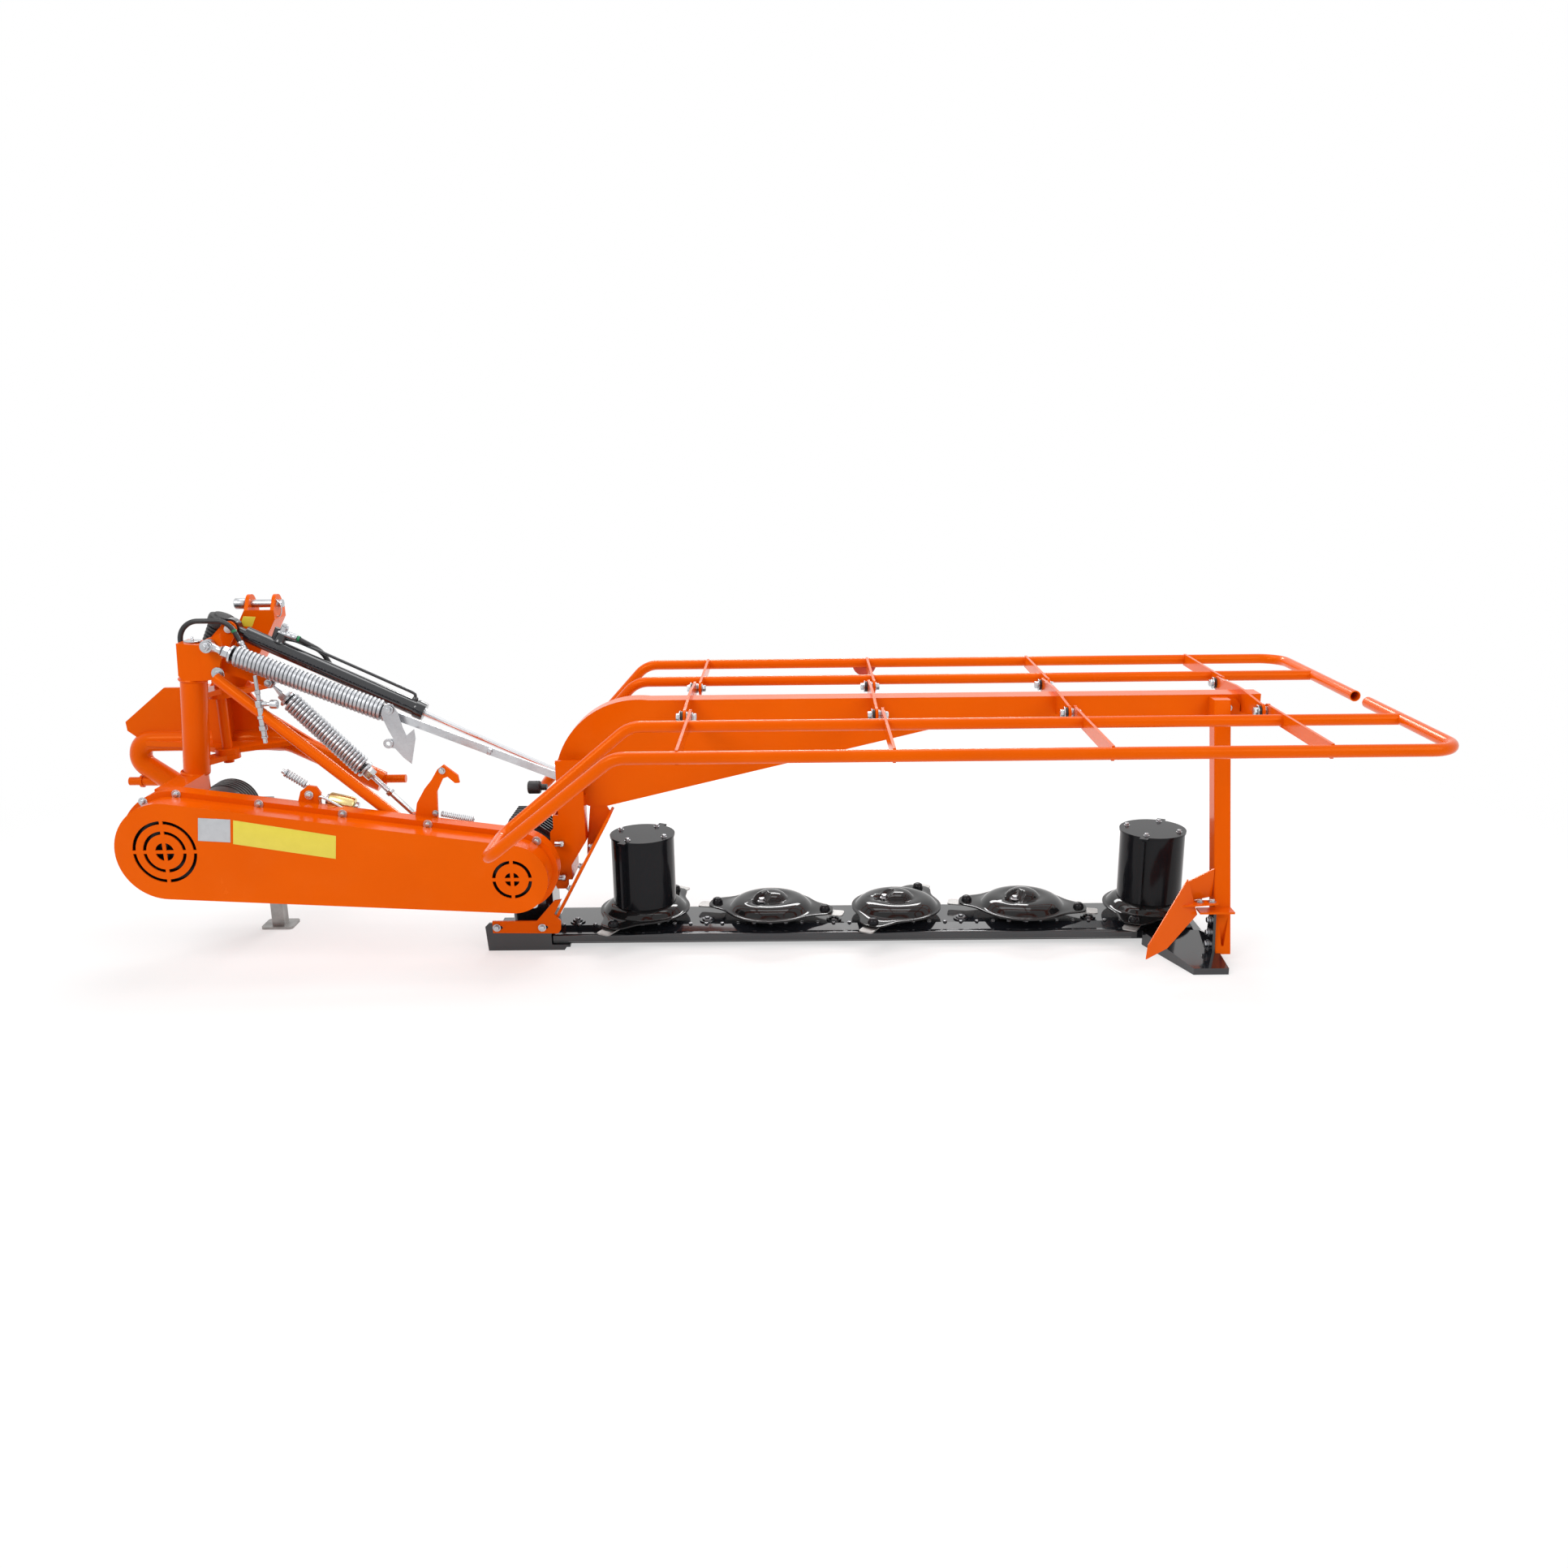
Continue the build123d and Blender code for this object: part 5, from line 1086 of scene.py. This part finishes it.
bent("tensioner_bail", [
    (-1.190, -0.165, 0.470), (-1.194, -0.172, 0.520), (-1.188, -0.176, 0.530), (-1.150, -0.178, 0.508),
    (-1.092, -0.178, 0.470), (-1.074, -0.172, 0.452), (-1.080, -0.160, 0.430),
], 0.0045, "carrier", bolt_zinc)

# %% [markdown]
# The latch is a sheet cut to a swept outline with a ring at its tip. Its face is where the solid's face is,
# which the frame gives, so it takes the solid's place. The draw bar below it runs through one small guide.

# %% Latch and guide
latch_low, latch_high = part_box("latch_plate")
print("latch plate from", [round(v, 4) for v in latch_low], "to", [round(v, 4) for v in latch_high])
latch_face, latch_thick = latch_low[1], 0.005
latch_outline = [
    (-1.018, 0.752), (-1.006, 0.781), (-0.981, 0.784), (-0.966, 0.754), (-0.957, 0.712), (-0.947, 0.686),
    (-0.922, 0.706), (-0.920, 0.677), (-0.938, 0.597), (-0.962, 0.618), (-0.984, 0.646), (-0.998, 0.649),
    (-0.999, 0.676), (-0.987, 0.676), (-1.000, 0.704),
]
bm = bmesh.new()
latch_back = latch_face + latch_thick
slab(bm, [(x, latch_back, z) for x, z in latch_outline], latch_thick, 0.0008)
washer(bm, (-1.003, latch_back, 0.6625), rearward, outer=0.0150, thick=latch_thick, inner=0.0070)
latch = finish_piece(bm, "latch_cutout", "balance_spring", spring_steel, 30.0)
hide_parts("latch_plate")
bm = bmesh.new()
bolt(bm, (-0.992, latch_face, 0.768), rearward, 0.014, 2.0)
finish_piece(bm, "latch_bolt", "balance_spring", bolt_zinc)
bm = bmesh.new()
guide_at = balance_at + balance_way * 0.893
block(bm, guide_at, balance_way, size=(0.030, 0.020, 0.012), soft=0.002)
bolt(bm, guide_at + Vector((0, -0.010, 0)), rearward, 0.010, 1.6)
finish_piece(bm, "draw_bar_guide", "draw_bar", bolt_zinc)

# %% [markdown]
# The gearbox hangs on two studs through the channel's flange, and the foot plate on two bolts in slots. A
# rubber bumper stops the folding arm.

# %% Inner end
stud_nut = [
    (0.0, 0.0), (0.0085, 0.0), (0.0085, 0.016), (0.0105, 0.017),
    (0.0105, 0.026), (0.0090, 0.028), (0.0, 0.028),
]
bumper = [
    (0.0, 0.0), (0.018, 0.0), (0.021, 0.003), (0.021, 0.036),
    (0.018, 0.040), (0.010, 0.042), (0.010, 0.060), (0.0, 0.060),
]
bm = bmesh.new()
for z in (0.338, 0.227):
    turned(bm, (-0.512, -0.0745, z), outward, stud_nut, 20)
for x, z in ((-0.701, 0.080), (-0.559, 0.079)):
    bolt(bm, (x, -0.1225, z), rearward, 0.015, 1.7)
finish_piece(bm, "inner_end_bolts", "bar", bolt_zinc)
bm = bmesh.new()
turned(bm, (-0.612, 0.060, 0.484), outward, bumper)
finish_piece(bm, "rubber_bumper", "bar", rubber)

# %% [markdown]
# The end drums are closed by a lid with four bolts, set from the same centres as the discs. The outer
# shoe's flange is held by three bolts beside the post, the swath plate by two and the hook of the carrier
# by two.

# %% Bolts of the drums, the outer shoe and the hook
drum_top = 0.3362
for number in (0, 4):
    bm = bmesh.new()
    for quarter in range(4):
        spot = round_spot(disc_x[number], drum_top, 0.082, disc_turn[number] + quarter * pi / 2)
        bolt(bm, spot, up, 0.012, 1.6)
    finish_piece(bm, f"drum_{number + 1}_bolts", f"disc_{number + 1}", bolt_zinc)
bm = bmesh.new()
for z in (0.118, 0.078, 0.040):
    bolt(bm, (1.4935, -0.203, z), inward, 0.015, 1.8)
for x in (1.450, 1.487):
    bolt(bm, (x, -0.229, 0.1863), up, 0.014, 1.8)
bolt(bm, (1.560, -0.0165, 0.735), rearward, 0.014, 1.8)
finish_piece(bm, "outer_end_bolts", "bar", bolt_zinc)
bm = bmesh.new()
for x, z, across in ((-0.818, 0.602, 0.013), (-0.848, 0.470, 0.012)):
    bolt(bm, (x, -0.1703, z), rearward, across, 1.6)
finish_piece(bm, "hook_bolts", "carrier", bolt_zinc)

# %% [markdown]
# A rubber flap lines the far side of the inclined strip, held by three small bolts. It is a plain sheet, a
# few millimetres thick, cut to the strip's own line.

# %% Flap of the strip
strip_top, strip_foot = Vector((-0.333, 0, 0.430)), Vector((-0.510, 0, 0.105))
strip_out = square_to(way_between(strip_top, strip_foot))
flap_thick, flap_near, flap_far = 0.0045, -0.112, 0.003
corners = []
for share, y in ((0.03, flap_near), (0.03, flap_far), (0.985, flap_far), (0.985, flap_near)):
    spot = strip_top.lerp(strip_foot, share) + strip_out * 0.0006
    corners.append((spot.x, y, spot.z))
bm = bmesh.new()
slab(bm, corners, flap_thick)
finish_piece(bm, "strip_flap", "bar", rubber)
bm = bmesh.new()
for share in (0.30, 0.50, 0.72):
    spot = strip_top.lerp(strip_foot, share) - strip_out * 0.0102
    bolt(bm, (spot.x, -0.100, spot.z), -strip_out, 0.013, 1.7)
finish_piece(bm, "strip_bolts", "bar", bolt_zinc)

# %% [markdown]
# Under the guard's far rail hangs a reddish reflector, a disc with its upper half cut away. It starts as a
# turned disc and a plane takes the half off, so its rim stays round.

# %% Reflector
far_face, reflector_x, cut_height = 0.662, 0.485, 0.750
reflector = sprayed(
    "reflector_coat", (0.42, 0.035, 0.010, 1), (0.52, 0.050, 0.015, 1), (0.60, 0.20, 0.12, 1),
    rough=0.20, level=0.5,
)
lens = [(0.0, 0.0), (0.041, 0.0), (0.041, 0.003), (0.038, 0.005), (0.0, 0.005)]
bm = bmesh.new()
turned(bm, (reflector_x, far_face + 0.001, 0.758), rearward, lens, 48)
bmesh.ops.bisect_plane(
    bm, geom=list(bm.verts) + list(bm.edges) + list(bm.faces),
    plane_co=(reflector_x, far_face, cut_height), plane_no=up, clear_outer=True,
)
bmesh.ops.holes_fill(bm, edges=[edge for edge in bm.edges if edge.is_boundary])
finish_piece(bm, "reflector", "guard_far", reflector, 30.0)

# %% [markdown]
# Where a tube meets a plate there is a weld, and under paint it shows as a soft raised ring. A low rounded
# profile spun round the tube is enough for it. The post has two such rings, and the brace's is ground
# nearly flush.

# %% Weld rings
def weld(bm, at, axis, radius, size):
    """Low rounded ring where a tube of this radius meets a plate."""
    foot, flank = radius - 0.001, radius + size * 0.6
    profile = [
        (foot, -size), (flank, -size * 0.8), (radius + size, 0.0),
        (flank, size * 0.8), (foot, size), (foot, -size),
    ]
    turned(bm, at, axis, profile, 40)


post_lean = (0.033, 0, 0.345)
bm = bmesh.new()
weld(bm, (-1.650, 0.027, 0.5535), post_lean, radius=0.040, size=0.0045)
weld(bm, (-1.6180, 0.027, 0.8500), post_lean, radius=0.040, size=0.0045)
weld(bm, (-1.1895, -0.1058, 0.6165), (0.641, -0.130, -0.486), radius=0.018, size=0.0001)
finish_piece(bm, "carrier_welds", "carrier", orange_paint)

# %% [markdown]
# A camera needs something to stand the mower on. The floor is a very large pale sheet that keeps the
# mower's shadow. Lit like a floor it would turn grey towards the horizon, so from a few metres out it gives
# way to plain white for the camera and for reflections, by a share that grows with the distance from the
# mower.

# %% Floor
white = (1.0, 1.0, 1.0, 1.0)
near_white, far_starts, far_rise = 0.55, 1.9, 0.9
sheet_size = 30.0


def seen_directly(tree):
    """1 on rays from the camera, in reflections and through glass, otherwise 0."""
    path = tree.nodes.new("ShaderNodeLightPath")
    share = Val(path.outputs["Is Camera Ray"], tree)
    for kind in ("Is Glossy Ray", "Is Transmission Ray"):
        share = share.math("MAXIMUM", Val(path.outputs[kind], tree))
    return share


def studio_paper(name):
    """Pale matt paper that turns to plain white far from the middle."""
    paper = Finish(name, Roughness=0.9, Specular_IOR_Level=0.0)
    cloud = paper.noise(0.6, 2.0)
    paper.set(Base_Color=paper.blend(cloud, (0.93, 0.93, 0.93, 1), (0.96, 0.96, 0.96, 1)))
    ellipse = {"Vector": paper.place, "Scale": (0.75, 1.0, 0.0)}
    flat = paper.node("ShaderNodeMapping", None, ellipse, out="Vector")
    away = paper.node("ShaderNodeVectorMath", {"operation": "LENGTH"}, {0: flat}, out="Value")
    rise = ((away - far_starts) * far_rise).math("ADD", 0.0, clamp=True)
    share = rise * rise * (3.0 - rise * 2.0) * (1.0 - near_white) + near_white
    matt = Val(paper.shader.outputs[0], paper.tree)
    glow = paper.node("ShaderNodeEmission", None, {"Color": white, "Strength": 1.0})
    mixed = paper.node("ShaderNodeMixShader", None, {0: share * seen_directly(paper.tree), 1: matt, 2: glow})
    feed(paper.tree, paper.tree.nodes["Material Output"].inputs["Surface"], mixed)
    return paper.material


bm = bmesh.new()
bmesh.ops.create_grid(bm, x_segments=8, y_segments=8, size=sheet_size)
floor_data = bpy.data.meshes.new("floor")
bm.to_mesh(floor_data)
bm.free()
floor = bpy.data.objects.new("floor", floor_data)
scene.collection.objects.link(floor)
floor_data.materials.append(studio_paper("paper"))
print("floor", 2 * sheet_size, "m wide")

# %% [markdown]
# Light comes from the sky on all sides and from four soft lamps. The sky lights the mower at little more
# than half its strength but shows as full white. The lamps stand to the front left, to the front right,
# above and behind, and the first is the brightest.

# %% Light
sky_light = 0.55
world = bpy.data.worlds.new("studio")
scene.world = world
world.use_nodes = True
sky = world.node_tree.nodes["Background"]
sky.inputs["Color"].default_value = white
sky_strength = seen_directly(world.node_tree) * (1.0 - sky_light) + sky_light
feed(world.node_tree, sky.inputs["Strength"], sky_strength)


def lamp(name, place, aim, width, height, power):
    """Soft square lamp that looks at a point."""
    data = bpy.data.lights.new(name, "AREA")
    data.shape = "RECTANGLE"
    data.size, data.size_y, data.energy = width, height, power
    thing = bpy.data.objects.new(name, data)
    scene.collection.objects.link(thing)
    turn = way_between(place, aim).to_track_quat("-Z", "Y").to_matrix().to_4x4()
    thing.matrix_world = Matrix.Translation(Vector(place)) @ turn


lamp("key", (-3.0, -3.5, 4.5), (0.0, 0.0, 0.4), width=3.0, height=2.0, power=130)
lamp("fill", (3.5, -3.0, 3.0), (0.3, 0.0, 0.4), width=2.5, height=2.5, power=55)
lamp("top", (0.0, 1.0, 4.5), (0.0, 0.0, 0.3), width=4.0, height=2.0, power=80)
lamp("behind", (0.4, 3.2, 2.6), (0.4, 0.0, 0.1), width=2.6, height=0.5, power=65)
scene.view_settings.view_transform = "Standard"
